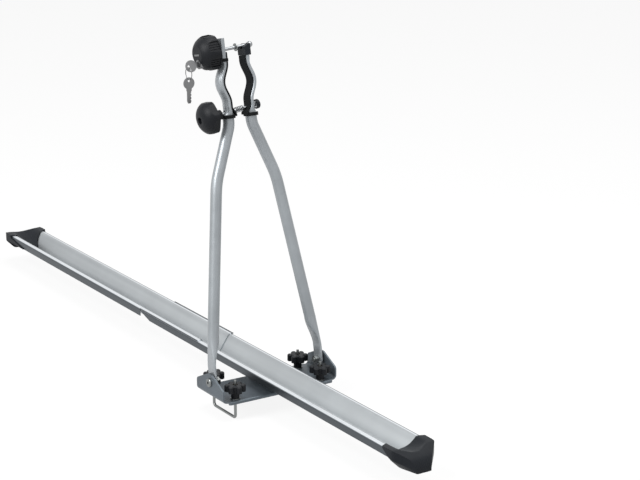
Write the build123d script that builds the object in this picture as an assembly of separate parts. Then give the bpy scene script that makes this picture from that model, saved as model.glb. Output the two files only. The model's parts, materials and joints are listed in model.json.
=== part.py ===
from build123d import *
import math
import os

# Roof mounted bike carrier: a two piece wheel channel on a bent steel bracket,
# two tube arms that pivot on the bracket and a clamp at their tops that grips
# the down tube of a bike. Millimetres, +Z up, X along the wheel channel.
# The origin is the middle of the seat on the roof bar.

# Seat on the roof bar and the bent bracket
PAD_THICK = 4.0
PAD_LENGTH = 76.0
PAD_TO_U_BOLT = 11.0
PLATE_THICK = 3.0
BRACKET_WIDTH = 100.0
BRACKET_SPAN = 230.0
LIP_DROP = 2.6
LIP_RADIUS = 3.5
EAR_WIDTH = 90.0
EAR_SHOULDER = 26.5
EAR_PEAK = 45.0
EAR_PEAK_WIDTH = 12.0
EAR_ROUND = 7.0
EAR_BEND = 5.0
CORNER_CUT = 9.0

# Wheel channel, a rolled section with a rounded bead along each edge
HALF_LENGTH = 834.0
OVERLAP = 220.0
FRONT_END = 433.0
CHANNEL_WIDTH = 77.0
CHANNEL_WALL = 1.5
CHANNEL_HEIGHT = 30.5
SKIRT_HEIGHT = 13.5
BEAD_WIDTH = 9.0
BEAD_ROUND = 2.6
BEAD_CROWN = 0.9
FLOOR_WIDTH = 20.0
FLOOR_ROUND = 5.0
NEST_GAP = 0.1
SKIRT_SLANT = 42.0
JOINT_BOLT_SPACING = 133.0
JOINT_BOLT_RADIUS = 3.0
JOINT_BOLT_END = 4.0
JOINT_NUT_THICK = 5.0
JOINT_NUT_ACROSS = 10.0
RAIL_RIVET_SPACING = 56.0
RAIL_RIVET_RADIUS = 3.0
RIVET_TAIL = 1.8
HEAD_RADIUS = 5.2
HEAD_TALL = 2.6

# Plastic end caps
CAP_WALL = 2.4
CAP_COLLAR = 22.0
CAP_SHOULDER = 5.0
CAP_NOSE = 34.0
CAP_NOSE_WIDTH = 28.0
CAP_BOTTOM_WIDTH = 44.0
CAP_TOP_PROUD = 2.2
CAP_NOSE_DROP = 15.0
CAP_TONGUE = 33.0
CAP_TONGUE_TOP = 7.0
CAP_TONGUE_THICK = 1.8
SCOOP_END = 18.0
SCOOP_DEPTH_SHARE = 0.15
SCOOP_WIDTH_SHARE = 0.62
CAP_BOW_SHARE = 0.3
CAP_SOLE_SHARE = 0.9
CORNER_BEVEL = 3.2
CAP_SIDE_DEPTH = 14.5
REAR_SHELL_SHORT = 24.0
REAR_SHELL_LONG = 86.0

# Pivots of the arms
PIVOT_HEIGHT = 30.0
PIVOT_RADIUS = 4.0
PIVOT_HEAD_RADIUS = 7.7
PIVOT_HEAD_THICK = 3.6
PIVOT_NUT_ACROSS = 13.0
PIVOT_NUT_THICK = 6.5
PIVOT_SOCKET_ACROSS = 5.0
PIVOT_SOCKET_DEPTH = 2.4
PIVOT_THREAD_END = 2.0
PIVOT_ROUND_SHARE = 0.6
NUT_CROWN_SHARE = 0.62
LEAN = 10.9
FOOT_GAP = 2.3
NUT_GAP = 0.9

# Arms, measured from the pivot along the arm and out from the middle plane
TUBE_RADIUS = 10.0
TUBE_WALL = 1.6
FOOT_THICK = 5.0
FOOT_WIDTH = 24.0
FOOT_FLAT_TOP = 28.0
FOOT_STEPS = 6
TUBE_START = 78.0
TUBE_START_OUT = 98.0
LOW_BEND_UP = 336.0
LOW_BEND_OUT = 59.5
LOW_BEND_RADIUS = 150.0
HIGH_BEND_UP = 431.0
HIGH_BEND_OUT = 22.6
HIGH_BEND_RADIUS = 42.0
TUBE_END = 447.0
WELD_STEP = 0.2
JAW_START = 463.0
JAW_FACE_OUT = 19.4
JAW_WIDTH = 24.0
JAW_DEPTH = 9.0
RECESS_UP = 504.0
RECESS_REACH = 34.0
RECESS_DEPTH = 9.6
TOP_START = 536.0
TOP_END = 580.0
TOP_WIDTH = 22.0
TOP_DEPTH = 7.0
FAR_TOP = 555.5
JAW_STEPS = 20
# Shares of half the width and of the depth: inner corner across and out,
# side point out, outer corner across and out
DIAGONAL_SHARE = math.sqrt(0.5)
ROUND_SHARES = (DIAGONAL_SHARE, (1 - DIAGONAL_SHARE) / 2, 0.5, DIAGONAL_SHARE, (1 + DIAGONAL_SHARE) / 2)
DEE_SHARES = (0.86, 0.05, 0.28, 0.74, 0.68)
FLAT_SHARES = (0.93, 0.03, 0.5, 0.93, 0.97)

# Rubber pads on the jaws
GRIP_THICK = 2.6
GRIP_WIDTH = 21.0
GRIP_OVER_BAND = 13.2
GRIP_START = 446.0
GRIP_BAND_UP = 449.0
GRIP_BAND_TALL = 6.0
GRIP_BAND_THICK = 2.2
TOP_BAND_RISE = 6.8
TOP_BAND_TALL = 5.5
TOP_BAND_LIP = 9.0
GRIP_STEPS = 36
SOFT_GAP = 0.3

# Lower clamp screw, its spring and knob, on a slightly rising axis
LOWER_AXIS_UP = 456.5
LOWER_AXIS_RISE = 8.0
SCREW_RADIUS = 3.0
SCREW_END = -63.0
SCREW_TRAVEL = 8.6
SCREW_PLAY = 1.3
SCREW_COLLAR_SHARE = 1.9
SCREW_HEAD_RADIUS = 8.2
SCREW_HEAD_THICK = 7.0
SCREW_HEAD_SEAT = 33.6
SCREW_HEAD_ROUND_SHARE = 0.4
SPRING_WIRE = 0.65
SPRING_RADIUS = 4.6
SPRING_TURNS = 5
SPRING_STEPS = 24
SPRING_START = -9.6
SPRING_END = 9.2
LOWER_KNOB_RADIUS = 29.0
LOWER_KNOB_DISC = -57.5
LOWER_KNOB_DOME = 21.0
LOWER_NECK_RADIUS = 8.5
LOWER_NECK_START = -37.2
LOWER_RECESS_RADIUS = 6.0
LOWER_RECESS_DEPTH = 5.0
CONE_OUT_SHARE = 0.68
CONE_DROP_SHARE = 1.75
DOME_OUT_SHARE = 0.8
DOME_DROP_SHARE = 0.67
KNOB_RIM_SHARE = 0.34
KNOB_CORNER_SHARE = 1.07
KNOB_ROUND_SHARE = 0.42

# Upper bolt with a ball end and the locking knob
UPPER_AXIS_UP = 561.6
UPPER_AXIS_RISE = 4.8
BOLT_RADIUS = 3.0
BALL_RADIUS = 5.4
BALL_PLACE = 34.6
COLLAR_SHARE = 1.3
COLLAR_START_SHARE = 0.92
STOP_RING_PLACE = 5.6
STOP_RING_RADIUS = 6.8
STOP_RING_THICK = 1.2
LOCK_KNOB_RADIUS = 31.0
LOCK_KNOB_DISC = -38.0
LOCK_KNOB_FACE = -70.0
LOCK_KNOB_BASE = -28.4
LOCK_BARREL_RADIUS = 6.5
LOCK_BARREL_DROP = 15.7
LOCK_BARREL_LENGTH = 24.0
LOCK_BARREL_PROUD = 1.4
GRIP_POCKET_WIDTH = 17.0
GRIP_POCKET_LENGTH = 20.0
GRIP_POCKET_DEPTH = 1.8
GRIP_RIB = 1.6
BOLT_END = -54.0
BOLT_TRAVEL = 10.4
LOCK_KNOB_WALL = 8.0
LOCK_BASE_RADIUS = 11.5
LOCK_KNOB_TURN = 8.0
LOCK_BEZEL_RADIUS = 8.0
LOCK_BEZEL_FLOOR = 2.4
LOCK_PLAY = 0.08
FACE_SHARE = 0.5
KNOB_SIDES = 6
FLAT_OF_HEX = math.cos(math.pi / 6)
POCKET_SHARE = 0.62
GRIP_RIBS = 3
FACE_PLATE_LENGTH = 16.5
FACE_PLATE_WIDTH = 3.4
FACE_PLATE_THICK = 1.2
FACE_PLATE_PROUD = 0.4

# Keys
KEY_THICK = 2.2
KEY_BOW_RADIUS = 10.2
KEY_HOLE_RADIUS = 2.6
KEY_HOLE_OUT = 4.6
KEY_BLADE_WIDTH = 7.4
KEY_BLADE_LENGTH = 24.3
KEY_SHOULDER = 2.0
KEY_NOTCHES = 4
NOTCH_SHARE = 0.2
NOTCH_STEP_SHARE = 1.5
KEY_PLAY = 0.2
KEY_TIP = -50.4
RING_RADIUS = 10.6
RING_WIRE = 0.7
RING_HANG = 0.6

# Moulded fork on the far jaw, and the small screws and rivets of the jaws
FORK_LOW = 547.0
FORK_TOP = 561.0
FORK_HIGH = 567.0
FORK_WALL = 1.8
FORK_DROP = 2.0
FORK_SCREW_RADIUS = 1.8
FORK_SCREW_UP = 551.5
FORK_HEAD_SHARE = 1.3
PAD_RIVET_PLACES = (478.0, 532.0)
PAD_RIVET_RADIUS = 2.0
PAD_RIVET_SUNK = 0.4
PAD_RIVET_LENGTH = 7.0

# Screws that clamp the bracket to the roof bar
U_BOLT_RADIUS = 2.5
U_BOLT_SPREAD = 73.0
U_BOLT_INSET = 29.0
U_BOLT_BOTTOM = -31.0
U_BOLT_TOP = 40.0
U_BOLT_BEND = 6.0
STAR_RADIUS = 18.4
STAR_LOBES = 6
STAR_LOBE_SHARE = 0.27
STAR_CORE_SHARE = 1.25
STAR_HUB_RADIUS = 7.2
STAR_HUB_TALL = 11.5
STAR_TALL = 24.0
STAR_CROWN = 1.6
INSERT_RADIUS = 4.4
WASHER_RADIUS = 8.5
WASHER_THICK = 1.2

# Names of the sides and ends
SIDES = {-1: "near", 1: "far"}
ENDS = {-1: "rear", 1: "front"}

# Clearances and cuts
BORE_GAP = 0.3
RUN_GAP = 0.4
FIT_GAP = 0.15
CUT_OVER = 1.0
BEVEL = 0.6
CORNER_SPARE = 0.05

# Places that follow from the sizes
PLATE_LOW = PAD_THICK
TOP_BAND_UP = TOP_START + TOP_BAND_RISE
GRIP_TOP = TOP_BAND_UP + GRIP_OVER_BAND
U_BOLT_PLACE = BRACKET_SPAN / 2 - U_BOLT_INSET
PAD_WIDTH = 2 * (U_BOLT_PLACE - PAD_TO_U_BOLT)
PLATE_TOP = PLATE_LOW + PLATE_THICK
RAIL_LOW = PLATE_TOP
RAIL_TOP = RAIL_LOW + CHANNEL_HEIGHT
REAR_INNER = FRONT_END - HALF_LENGTH + OVERLAP
FRONT_INNER = FRONT_END - HALF_LENGTH
REAR_END = REAR_INNER - HALF_LENGTH
OVERLAP_MIDDLE = (REAR_INNER + FRONT_INNER) / 2
EAR_OUTER = BRACKET_SPAN / 2
EAR_INNER = EAR_OUTER - PLATE_THICK
FOOT_OUT = EAR_INNER - FOOT_GAP - FOOT_THICK / 2
LOWER_SLOPE = math.radians(LOWER_AXIS_RISE)
UPPER_SLOPE = math.radians(UPPER_AXIS_RISE)

os.makedirs("parts", exist_ok=True)


def save(shape, name):
    """Write one sub-part as a STEP file."""
    export_step(shape, "parts/" + name + ".step")


def rod(radius, start, end):
    """Round bar between two points."""
    run = Vector(*end) - Vector(*start)
    place = Plane(origin=start, z_dir=run)
    bar = Cylinder(radius, run.length, align=(Align.CENTER, Align.CENTER, Align.MIN))
    return place.location * bar


def hex_bar(across, start, end):
    """Six sided bar between two points, across its flats."""
    run = Vector(*end) - Vector(*start)
    place = Plane(origin=start, z_dir=run)
    return extrude(place * RegularPolygon(across / 2, 6, major_radius=False), run.length)


def block(x_span, y_span, z_span):
    """Box from its three spans."""
    size = [abs(span[1] - span[0]) for span in (x_span, y_span, z_span)]
    middle = [(span[0] + span[1]) / 2 for span in (x_span, y_span, z_span)]
    return Pos(*middle) * Box(*size)


def turned(profile):
    """Solid of revolution about Z from a closed outline of (radius, height) points."""
    return revolve(Plane.XZ * make_face(Polyline(*profile, close=True)), Axis.Z)


def one_solid(shape):
    """The single solid of a shape."""
    return shape.solids()[0]


def upright_to_arm(shape):
    """Put a shape drawn on an upright arm with its pivot at zero on the leaning arm."""
    return Pos(0, 0, PIVOT_HEIGHT) * Rot(0, -LEAN, 0) * shape


def on_lower_axis(shape):
    """Put a shape drawn along Z on the axis of the lower clamp screw."""
    return upright_to_arm(Pos(0, 0, LOWER_AXIS_UP) * Rot(LOWER_AXIS_RISE - 90, 0, 0) * shape)


def on_upper_axis(shape):
    """Put a shape drawn along Z on the axis of the upper bolt."""
    return upright_to_arm(Pos(0, 0, UPPER_AXIS_UP) * Rot(UPPER_AXIS_RISE - 90, 0, 0) * shape)


def offset_points(points, shift):
    """Points of an open outline moved sideways by a distance, with mitred corners."""
    moved = []
    last = len(points) - 1
    for index, (across, up) in enumerate(points):
        before = points[max(index - 1, 0)]
        after = points[min(index + 1, last)]
        into = math.atan2(up - before[1], across - before[0]) if index > 0 else None
        out = math.atan2(after[1] - up, after[0] - across) if index < last else None
        into = out if into is None else into
        out = into if out is None else out
        middle = (into + out) / 2
        reach = shift / math.cos((out - into) / 2)
        moved.append((across - reach * math.sin(middle), up + reach * math.cos(middle)))
    return moved


def right_half_section(lift):
    """Underside of the right half of the channel, from its middle to the end of its skirt."""
    edge = CHANNEL_WIDTH / 2 - CHANNEL_WALL
    bead = edge - BEAD_WIDTH + CHANNEL_WALL
    top = RAIL_TOP - CHANNEL_WALL
    points = [(0, RAIL_LOW), (FLOOR_WIDTH / 2, RAIL_LOW), (bead, top)]
    points += [(edge, top), (edge, RAIL_TOP - SKIRT_HEIGHT)]
    rounds = [FLOOR_ROUND + CHANNEL_WALL, BEAD_ROUND, BEAD_ROUND]
    if lift:
        points = offset_points(points, lift)
    return points, rounds


def channel_face(lift, with_skirt):
    """Cross-section of the channel in the YZ plane; lift moves the sheet up by its own thickness."""
    low, rounds = right_half_section(lift)
    if lift:
        low[3] = (CHANNEL_WIDTH / 2 - CHANNEL_WALL, low[3][1])
        low[4] = (CHANNEL_WIDTH / 2 - CHANNEL_WALL, low[4][1])
    high = offset_points(low, CHANNEL_WALL)
    if not with_skirt:
        low = low[:3] + [(CHANNEL_WIDTH / 2, low[3][1])]
        high = high[:3] + [(CHANNEL_WIDTH / 2, high[3][1])]
        rounds = rounds[:2]
    low_rounds = [rounds[0] - lift] + [BEAD_ROUND + lift] + [BEAD_ROUND] * (len(rounds) - 2)
    high_rounds = [low_rounds[0] - CHANNEL_WALL] + [value + CHANNEL_WALL for value in low_rounds[1:]]
    under = FilletPolyline(*low, radius=low_rounds)
    over = FilletPolyline(*high, radius=high_rounds)
    outline = [under, over, Line(low[-1], high[-1]), Line(low[0], high[0])]
    half = make_face(outline)
    return Plane.YZ * (half + mirror(half, about=Plane.YZ))


def rail_front():
    """Half of the channel at the front, with its skirts cut back on a slant where the halves meet."""
    bar = Pos(FRONT_INNER, 0, 0) * extrude(channel_face(0, True), HALF_LENGTH, dir=(1, 0, 0))
    low = RAIL_TOP - SKIRT_HEIGHT
    slant = Polyline(
        (FRONT_INNER - CUT_OVER, RAIL_TOP - CHANNEL_WALL * 2),
        (FRONT_INNER, RAIL_TOP - CHANNEL_WALL * 2),
        (FRONT_INNER + SKIRT_SLANT, low - CUT_OVER),
        (FRONT_INNER - CUT_OVER, low - CUT_OVER),
        close=True,
    )
    for side in (-1, 1):
        start = side * (CHANNEL_WIDTH / 2 - CHANNEL_WALL * 2)
        reach = side * (CHANNEL_WALL * 2 + CUT_OVER)
        cut = extrude(Plane.XZ * make_face(slant), -reach)
        bar -= Pos(0, start, 0) * cut
    return bar - joint_bores() - rivet_bores()


def rail_rear():
    """Half of the channel at the rear, lying on the front half where they overlap."""
    lift = CHANNEL_WALL + NEST_GAP
    plain = extrude(channel_face(lift, True), HALF_LENGTH - OVERLAP - NEST_GAP, dir=(1, 0, 0))
    nested = extrude(channel_face(lift, False), OVERLAP + NEST_GAP, dir=(1, 0, 0))
    bar = Pos(REAR_END, 0, 0) * plain + Pos(FRONT_INNER - NEST_GAP, 0, 0) * nested
    return bar - joint_bores()


def joint_places():
    """X places of the two bolts that hold the halves together."""
    return [OVERLAP_MIDDLE - JOINT_BOLT_SPACING / 2, OVERLAP_MIDDLE + JOINT_BOLT_SPACING / 2]


def rivet_places():
    """X places of the rivets that hold the channel on the bracket."""
    return [-RAIL_RIVET_SPACING / 2, RAIL_RIVET_SPACING / 2]


def joint_bores():
    """Holes for the joint bolts."""
    bores = Part()
    for place in joint_places():
        bores += rod(JOINT_BOLT_RADIUS + BORE_GAP, (place, 0, 0), (place, 0, RAIL_TOP))
    return bores


def rivet_bores():
    """Holes for the rivets."""
    bores = Part()
    for place in rivet_places():
        bores += rod(RAIL_RIVET_RADIUS, (place, 0, -CUT_OVER), (place, 0, RAIL_TOP))
    return bores


def domed_head(radius, thick, middle, up):
    """Low domed head whose flat side looks down when up is 1 and up when it is -1."""
    ball = (radius ** 2 + thick ** 2) / (2 * thick)
    dome = Pos(0, 0, thick - ball) * Sphere(ball)
    wide = (radius + CUT_OVER) * 2
    dome &= Pos(0, 0, thick / 2) * Box(wide, wide, thick)
    if up < 0:
        dome = Rot(180, 0, 0) * dome
    return Pos(*middle) * dome


def joint_bolts():
    """Two bolts with domed heads in the channel."""
    top = RAIL_LOW + CHANNEL_WALL * 2 + NEST_GAP
    low = RAIL_LOW - JOINT_NUT_THICK - JOINT_BOLT_END
    bolts = []
    for place in joint_places():
        bolt = rod(JOINT_BOLT_RADIUS, (place, 0, low), (place, 0, top))
        bolt += domed_head(HEAD_RADIUS, HEAD_TALL, (place, 0, top), 1)
        bolts.append(one_solid(bolt))
    return Compound(children=bolts)


def joint_nuts():
    """Two hexagon nuts under the channel."""
    nuts = []
    for place in joint_places():
        nut = hex_bar(JOINT_NUT_ACROSS, (place, 0, RAIL_LOW - JOINT_NUT_THICK), (place, 0, RAIL_LOW))
        nut -= rod(JOINT_BOLT_RADIUS, (place, 0, -CUT_OVER), (place, 0, RAIL_TOP))
        nuts.append(one_solid(nut))
    return Compound(children=nuts)


def rail_rivets():
    """Rivets that hold the channel on the bracket, with flat tails above the roof bar."""
    top = RAIL_LOW + CHANNEL_WALL
    rivets = []
    for place in rivet_places():
        rivet = rod(RAIL_RIVET_RADIUS, (place, 0, PLATE_LOW), (place, 0, top))
        rivet += domed_head(HEAD_RADIUS, HEAD_TALL, (place, 0, top), 1)
        tail = (place, 0, PLATE_LOW - RIVET_TAIL)
        rivet += rod(HEAD_RADIUS, tail, (place, 0, PLATE_LOW))
        rivets.append(one_solid(rivet))
    return Compound(children=rivets)



def ear_outline(inset):
    """Outline of an ear in the XZ plane, a low gable with rounded shoulders and a flat peak."""
    half = EAR_WIDTH / 2 - inset
    peak = EAR_PEAK_WIDTH / 2
    points = [
        (-half, PLATE_LOW),
        (-half, EAR_SHOULDER),
        (-peak, EAR_PEAK),
        (peak, EAR_PEAK),
        (half, EAR_SHOULDER),
        (half, PLATE_LOW),
    ]
    path = FilletPolyline(*points, radius=EAR_ROUND)
    return make_face([path, Line(points[-1], points[0])])


def bracket():
    """Bent steel bracket: a lipped plate on the roof bar with an ear at each end for an arm."""
    half = BRACKET_WIDTH / 2
    low = PLATE_LOW - LIP_DROP
    outer = [(-half, low), (-half, PLATE_TOP), (half, PLATE_TOP), (half, low)]
    inner = [(-half + PLATE_THICK, low), (-half + PLATE_THICK, PLATE_LOW)]
    inner += [(half - PLATE_THICK, PLATE_LOW), (half - PLATE_THICK, low)]
    over = FilletPolyline(*outer, radius=LIP_RADIUS)
    under = FilletPolyline(*inner, radius=LIP_RADIUS - PLATE_THICK)
    section = make_face([over, under, Line(outer[0], inner[0]), Line(outer[-1], inner[-1])])
    run = EAR_OUTER - EAR_BEND
    plate = Pos(0, run, 0) * extrude(Plane.XZ * section, run * 2)
    for x_side in (-1, 1):
        for y_side in (-1, 1):
            corner = Polyline(
                (x_side * (half - CORNER_CUT), y_side * (run + CUT_OVER)),
                (x_side * (half + CUT_OVER), y_side * (run + CUT_OVER)),
                (x_side * (half + CUT_OVER), y_side * (run - CORNER_CUT)),
                close=True,
            )
            tall = PLATE_TOP - low + CUT_OVER * 2
            plate -= Pos(0, 0, low - CUT_OVER) * extrude(make_face(corner), tall)
    return plate + ear(1) + ear(-1) - bracket_bores()


def ear(side):
    """Ear at one end of the bracket with the round bend that joins it to the plate."""
    wall = extrude(Plane.XZ * ear_outline(0), PLATE_THICK)
    wall = Pos(0, EAR_OUTER if side > 0 else PLATE_THICK - EAR_OUTER, 0) * wall
    reach = EAR_BEND + PLATE_THICK
    half = EAR_WIDTH / 2
    y_span = (side * (EAR_OUTER - reach), side * EAR_OUTER)
    bend = block((-half, half), y_span, (PLATE_LOW, PLATE_LOW + reach))
    hollow_y = side * (EAR_OUTER - reach)
    hollow_z = PLATE_LOW + reach
    hollow = rod(EAR_BEND, (-half - CUT_OVER, hollow_y, hollow_z), (half + CUT_OVER, hollow_y, hollow_z))
    edge = rod(reach, (-half, hollow_y, hollow_z), (half, hollow_y, hollow_z))
    return (wall + bend) & (edge + upper_keep(side)) - hollow


def upper_keep(side):
    """Room above the bend and inboard of it, where the ear keeps its full shape."""
    half = EAR_WIDTH / 2
    reach = EAR_BEND + PLATE_THICK
    y_span = (side * (EAR_OUTER - reach), side * EAR_OUTER)
    return block((-half, half), y_span, (PLATE_LOW + reach, EAR_PEAK))


def bracket_bores():
    """Holes in the bracket for the U bolts, the rivets and the pivots."""
    bores = rivet_bores()
    for x_side in (-1, 1):
        for y_side in (-1, 1):
            place = (x_side * U_BOLT_SPREAD / 2, y_side * U_BOLT_PLACE)
            bores += rod(U_BOLT_RADIUS + RUN_GAP, (*place, 0), (*place, PLATE_TOP + CUT_OVER))
    end = EAR_OUTER + CUT_OVER
    return bores + rod(PIVOT_RADIUS + FIT_GAP, (0, -end, PIVOT_HEIGHT), (0, end, PIVOT_HEIGHT))


def bar_pad():
    """Rubber pad under the plate that sits on the roof bar, with holes round the rivet tails."""
    pad = Pos(0, 0, PAD_THICK / 2) * Box(PAD_LENGTH, PAD_WIDTH, PAD_THICK)
    pad = fillet(pad.edges().filter_by(Axis.Z), PAD_THICK)
    for place in rivet_places():
        top = PAD_THICK + CUT_OVER
        pad -= rod(HEAD_RADIUS + BORE_GAP * 2, (place, 0, -CUT_OVER), (place, 0, top))
    return pad


def cross_face(x, points):
    """Face across the channel at a place along it, from (across, up) points."""
    place = Plane(origin=(x, 0, 0), x_dir=(0, 1, 0), z_dir=(1, 0, 0))
    return place * make_face(Polyline(*points, close=True))


def hull_section(x, half_top, half_bottom, top, side_low, bottom):
    """Cross-section of a cap: upright sides that slope in to a narrow bottom."""
    right = [(half_top, top), (half_top, side_low), (half_bottom, bottom)]
    left = [(-across, up) for across, up in reversed(right)]
    return cross_face(x, right + left)


def cap_hull(lift, wall):
    """Bow shaped form of a cap in front of the channel's end, drawn in by a wall."""
    half = CHANNEL_WIDTH / 2 + CAP_WALL - wall
    top = RAIL_TOP + CAP_TOP_PROUD + lift - wall
    bottom = PLATE_TOP - CAP_WALL + wall
    side_low = RAIL_TOP - CAP_SIDE_DEPTH + wall
    sole = CAP_BOTTOM_WIDTH / 2 - wall
    nose = CAP_NOSE_WIDTH / 2 - wall
    nose_side = bottom + (side_low - bottom) * CAP_BOW_SHARE
    back = hull_section(0, half, sole, top, side_low, bottom)
    shoulder = hull_section(CAP_SHOULDER, half, sole, top, side_low, bottom)
    front = hull_section(CAP_NOSE - wall, nose, nose, top - CAP_NOSE_DROP, nose_side, bottom)
    return loft([back, shoulder], ruled=True) + loft([shoulder, front], ruled=True)


def trough_points(lift, grow):
    """Points of the trough inside the channel, drawn in by a thickness and open at the top."""
    low = right_half_section(CHANNEL_WALL + lift + grow)[0]
    top = RAIL_TOP + CAP_TOP_PROUD + lift + CUT_OVER
    corner = low[1]
    slope = (low[2][0] - corner[0]) / (low[2][1] - corner[1])
    rise = CORNER_BEVEL / math.hypot(1, slope)
    right = [(corner[0] + slope * (top - corner[1]), top), (corner[0] + slope * rise, corner[1] + rise)]
    right.append((corner[0] - CORNER_BEVEL, corner[1]))
    return right + [(-across, up) for across, up in reversed(right)]


def cap_trough(lift, grow):
    """Trough that goes on from the channel, then narrows and rises to the crest of the cap."""
    points = trough_points(lift, grow)
    back = -CAP_COLLAR - CAP_TONGUE - CUT_OVER
    top = points[0][1]
    crest = [
        (across * SCOOP_WIDTH_SHARE, top - (top - up) * SCOOP_DEPTH_SHARE + grow)
        for across, up in points
    ]
    mouth = cross_face(0, points)
    form = loft([cross_face(back, points), mouth], ruled=True)
    return form + loft([mouth, cross_face(SCOOP_END, crest)], ruled=True)


def tongue_keep(lift):
    """Room of the tongue: everything in front of a plane that slopes down into the channel."""
    top = RAIL_TOP + CAP_TOP_PROUD + lift
    half = CHANNEL_WIDTH / 2
    slope = Polyline(
        (-CAP_COLLAR - CAP_TONGUE_TOP, top),
        (CAP_WALL, top),
        (CAP_WALL, PLATE_TOP),
        (-CAP_COLLAR - CAP_TONGUE, PLATE_TOP),
        close=True,
    )
    return Pos(0, half, 0) * extrude(Plane.XZ * make_face(slope), CHANNEL_WIDTH)


def end_cap(lift, side_shell):
    """End cap for a channel end at X zero that looks towards +X; lift is the sheet's height."""
    hull = cap_hull(lift, 0)
    hollow = cap_hull(lift, CAP_WALL)
    body = hull - hollow
    body += cap_trough(lift, FIT_GAP) & (hull + tongue_keep(lift))
    sole = CAP_BOTTOM_WIDTH / 2 * CAP_SOLE_SHARE
    body += block((-CAP_COLLAR, CAP_WALL), (-sole, sole), (PLATE_TOP - CAP_WALL, PLATE_TOP - FIT_GAP))
    rail_top = RAIL_TOP + lift
    half = CHANNEL_WIDTH / 2
    for side in (-1, 1):
        inner = side * (half - BEAD_WIDTH - CAP_WALL)
        outer = side * (half + CAP_WALL)
        top = rail_top + CAP_TOP_PROUD
        body += block((-CAP_COLLAR, CAP_WALL), (inner, outer), (rail_top + FIT_GAP, top))
        side_span = (side * (half + FIT_GAP), outer)
        body += block((-CAP_COLLAR, CAP_WALL), side_span, (rail_top - CAP_WALL * 2, top))
    body -= cap_trough(lift, FIT_GAP + CAP_TONGUE_THICK)
    if side_shell:
        body += side_skirts(lift)
    return body


def side_skirts(lift):
    """Long side shells of the rear cap that cover the channel's skirts with a slanted edge."""
    top = RAIL_TOP + lift - CAP_WALL * 2
    low = RAIL_TOP + lift - CAP_SIDE_DEPTH
    outline = Polyline(
        (CAP_WALL, top + CAP_WALL),
        (-REAR_SHELL_SHORT, top + CAP_WALL),
        (-REAR_SHELL_LONG, low),
        (CAP_WALL, low),
        close=True,
    )
    face = Plane.XZ * make_face(outline)
    half = CHANNEL_WIDTH / 2
    skirts = Part()
    for side in (-1, 1):
        sheet = extrude(face, -(CAP_WALL - FIT_GAP) * side)
        skirts += Pos(0, side * (half + FIT_GAP), 0) * sheet
    return skirts


def smooth_step(share):
    """Rise from 0 to 1 with level ends."""
    share = min(max(share, 0.0), 1.0)
    return (1 - math.cos(math.pi * share)) / 2


def jaw_face(up):
    """Distance of the jaw's inner face from the middle plane at a height on the arm."""
    tube_face = HIGH_BEND_OUT - TUBE_RADIUS - WELD_STEP
    share = smooth_step((up - TUBE_END) / (JAW_START - TUBE_END))
    face = tube_face + (JAW_FACE_OUT - tube_face) * share
    away = abs(up - RECESS_UP) / RECESS_REACH
    return face + RECESS_DEPTH * smooth_step(1 - away)


def jaw_shape(up):
    """How far the jaw has become flat at a height, how far it has become thin, and its depth."""
    start = smooth_step((up - TUBE_END) / (JAW_START - TUBE_END))
    thin = smooth_step((up - TOP_START + TOP_DEPTH) / (TOP_DEPTH * 2))
    round_size = TUBE_RADIUS * 2 + WELD_STEP * 2
    depth = round_size + (JAW_DEPTH - round_size) * start + (TOP_DEPTH - JAW_DEPTH) * thin
    return start, thin, depth


def jaw_middle(up):
    """Distance of the jaw's middle line from the middle plane at a height."""
    return jaw_face(up) + jaw_shape(up)[2] / 2


def jaw_section(up):
    """Cross-section of a jaw at a height: from the round tube to a flat inner face and a thin top."""
    start, thin, depth = jaw_shape(up)
    round_size = TUBE_RADIUS * 2 + WELD_STEP * 2
    width = round_size + (JAW_WIDTH - round_size) * start + (TOP_WIDTH - JAW_WIDTH) * thin
    shares = [
        round_value + (dee_value - round_value) * start + (flat_value - dee_value) * thin
        for round_value, dee_value, flat_value in zip(ROUND_SHARES, DEE_SHARES, FLAT_SHARES)
    ]
    inner_x, inner_y, side_y, outer_x, outer_y = shares
    half = width / 2
    corner_in = (half * inner_x, depth * inner_y)
    corner_out = (half * outer_x, depth * outer_y)
    left_in = (-corner_in[0], corner_in[1])
    left_out = (-corner_out[0], corner_out[1])
    arcs = [
        ThreePointArc(left_in, (0, 0), corner_in),
        ThreePointArc(corner_in, (half, depth * side_y), corner_out),
        ThreePointArc(corner_out, (0, depth), left_out),
        ThreePointArc(left_out, (-half, depth * side_y), left_in),
    ]
    slope = (jaw_middle(up + BEVEL) - jaw_middle(up - BEVEL)) / (BEVEL * 2)
    tilt = math.atan(slope) if up > TUBE_END else 0
    upwards = (0, math.sin(tilt), math.cos(tilt))
    return Plane(origin=(0, jaw_face(up), up), x_dir=(1, 0, 0), z_dir=upwards) * make_face(arcs)


def jaw():
    """Jaw at the top of the arm on the far side, lofted from the tube's end to the thin top."""
    heights = [TUBE_END + (TOP_END - TUBE_END) * step / JAW_STEPS for step in range(JAW_STEPS + 1)]
    return loft([jaw_section(up) for up in heights])


def foot_section(up, out, width, thick, tilt, corner):
    """Rounded rectangle across the foot of an arm."""
    place = Plane(origin=(0, out, up), x_dir=(1, 0, 0), z_dir=(0, -math.sin(tilt), math.cos(tilt)))
    return place * RectangleRounded(width, thick, corner)


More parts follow.
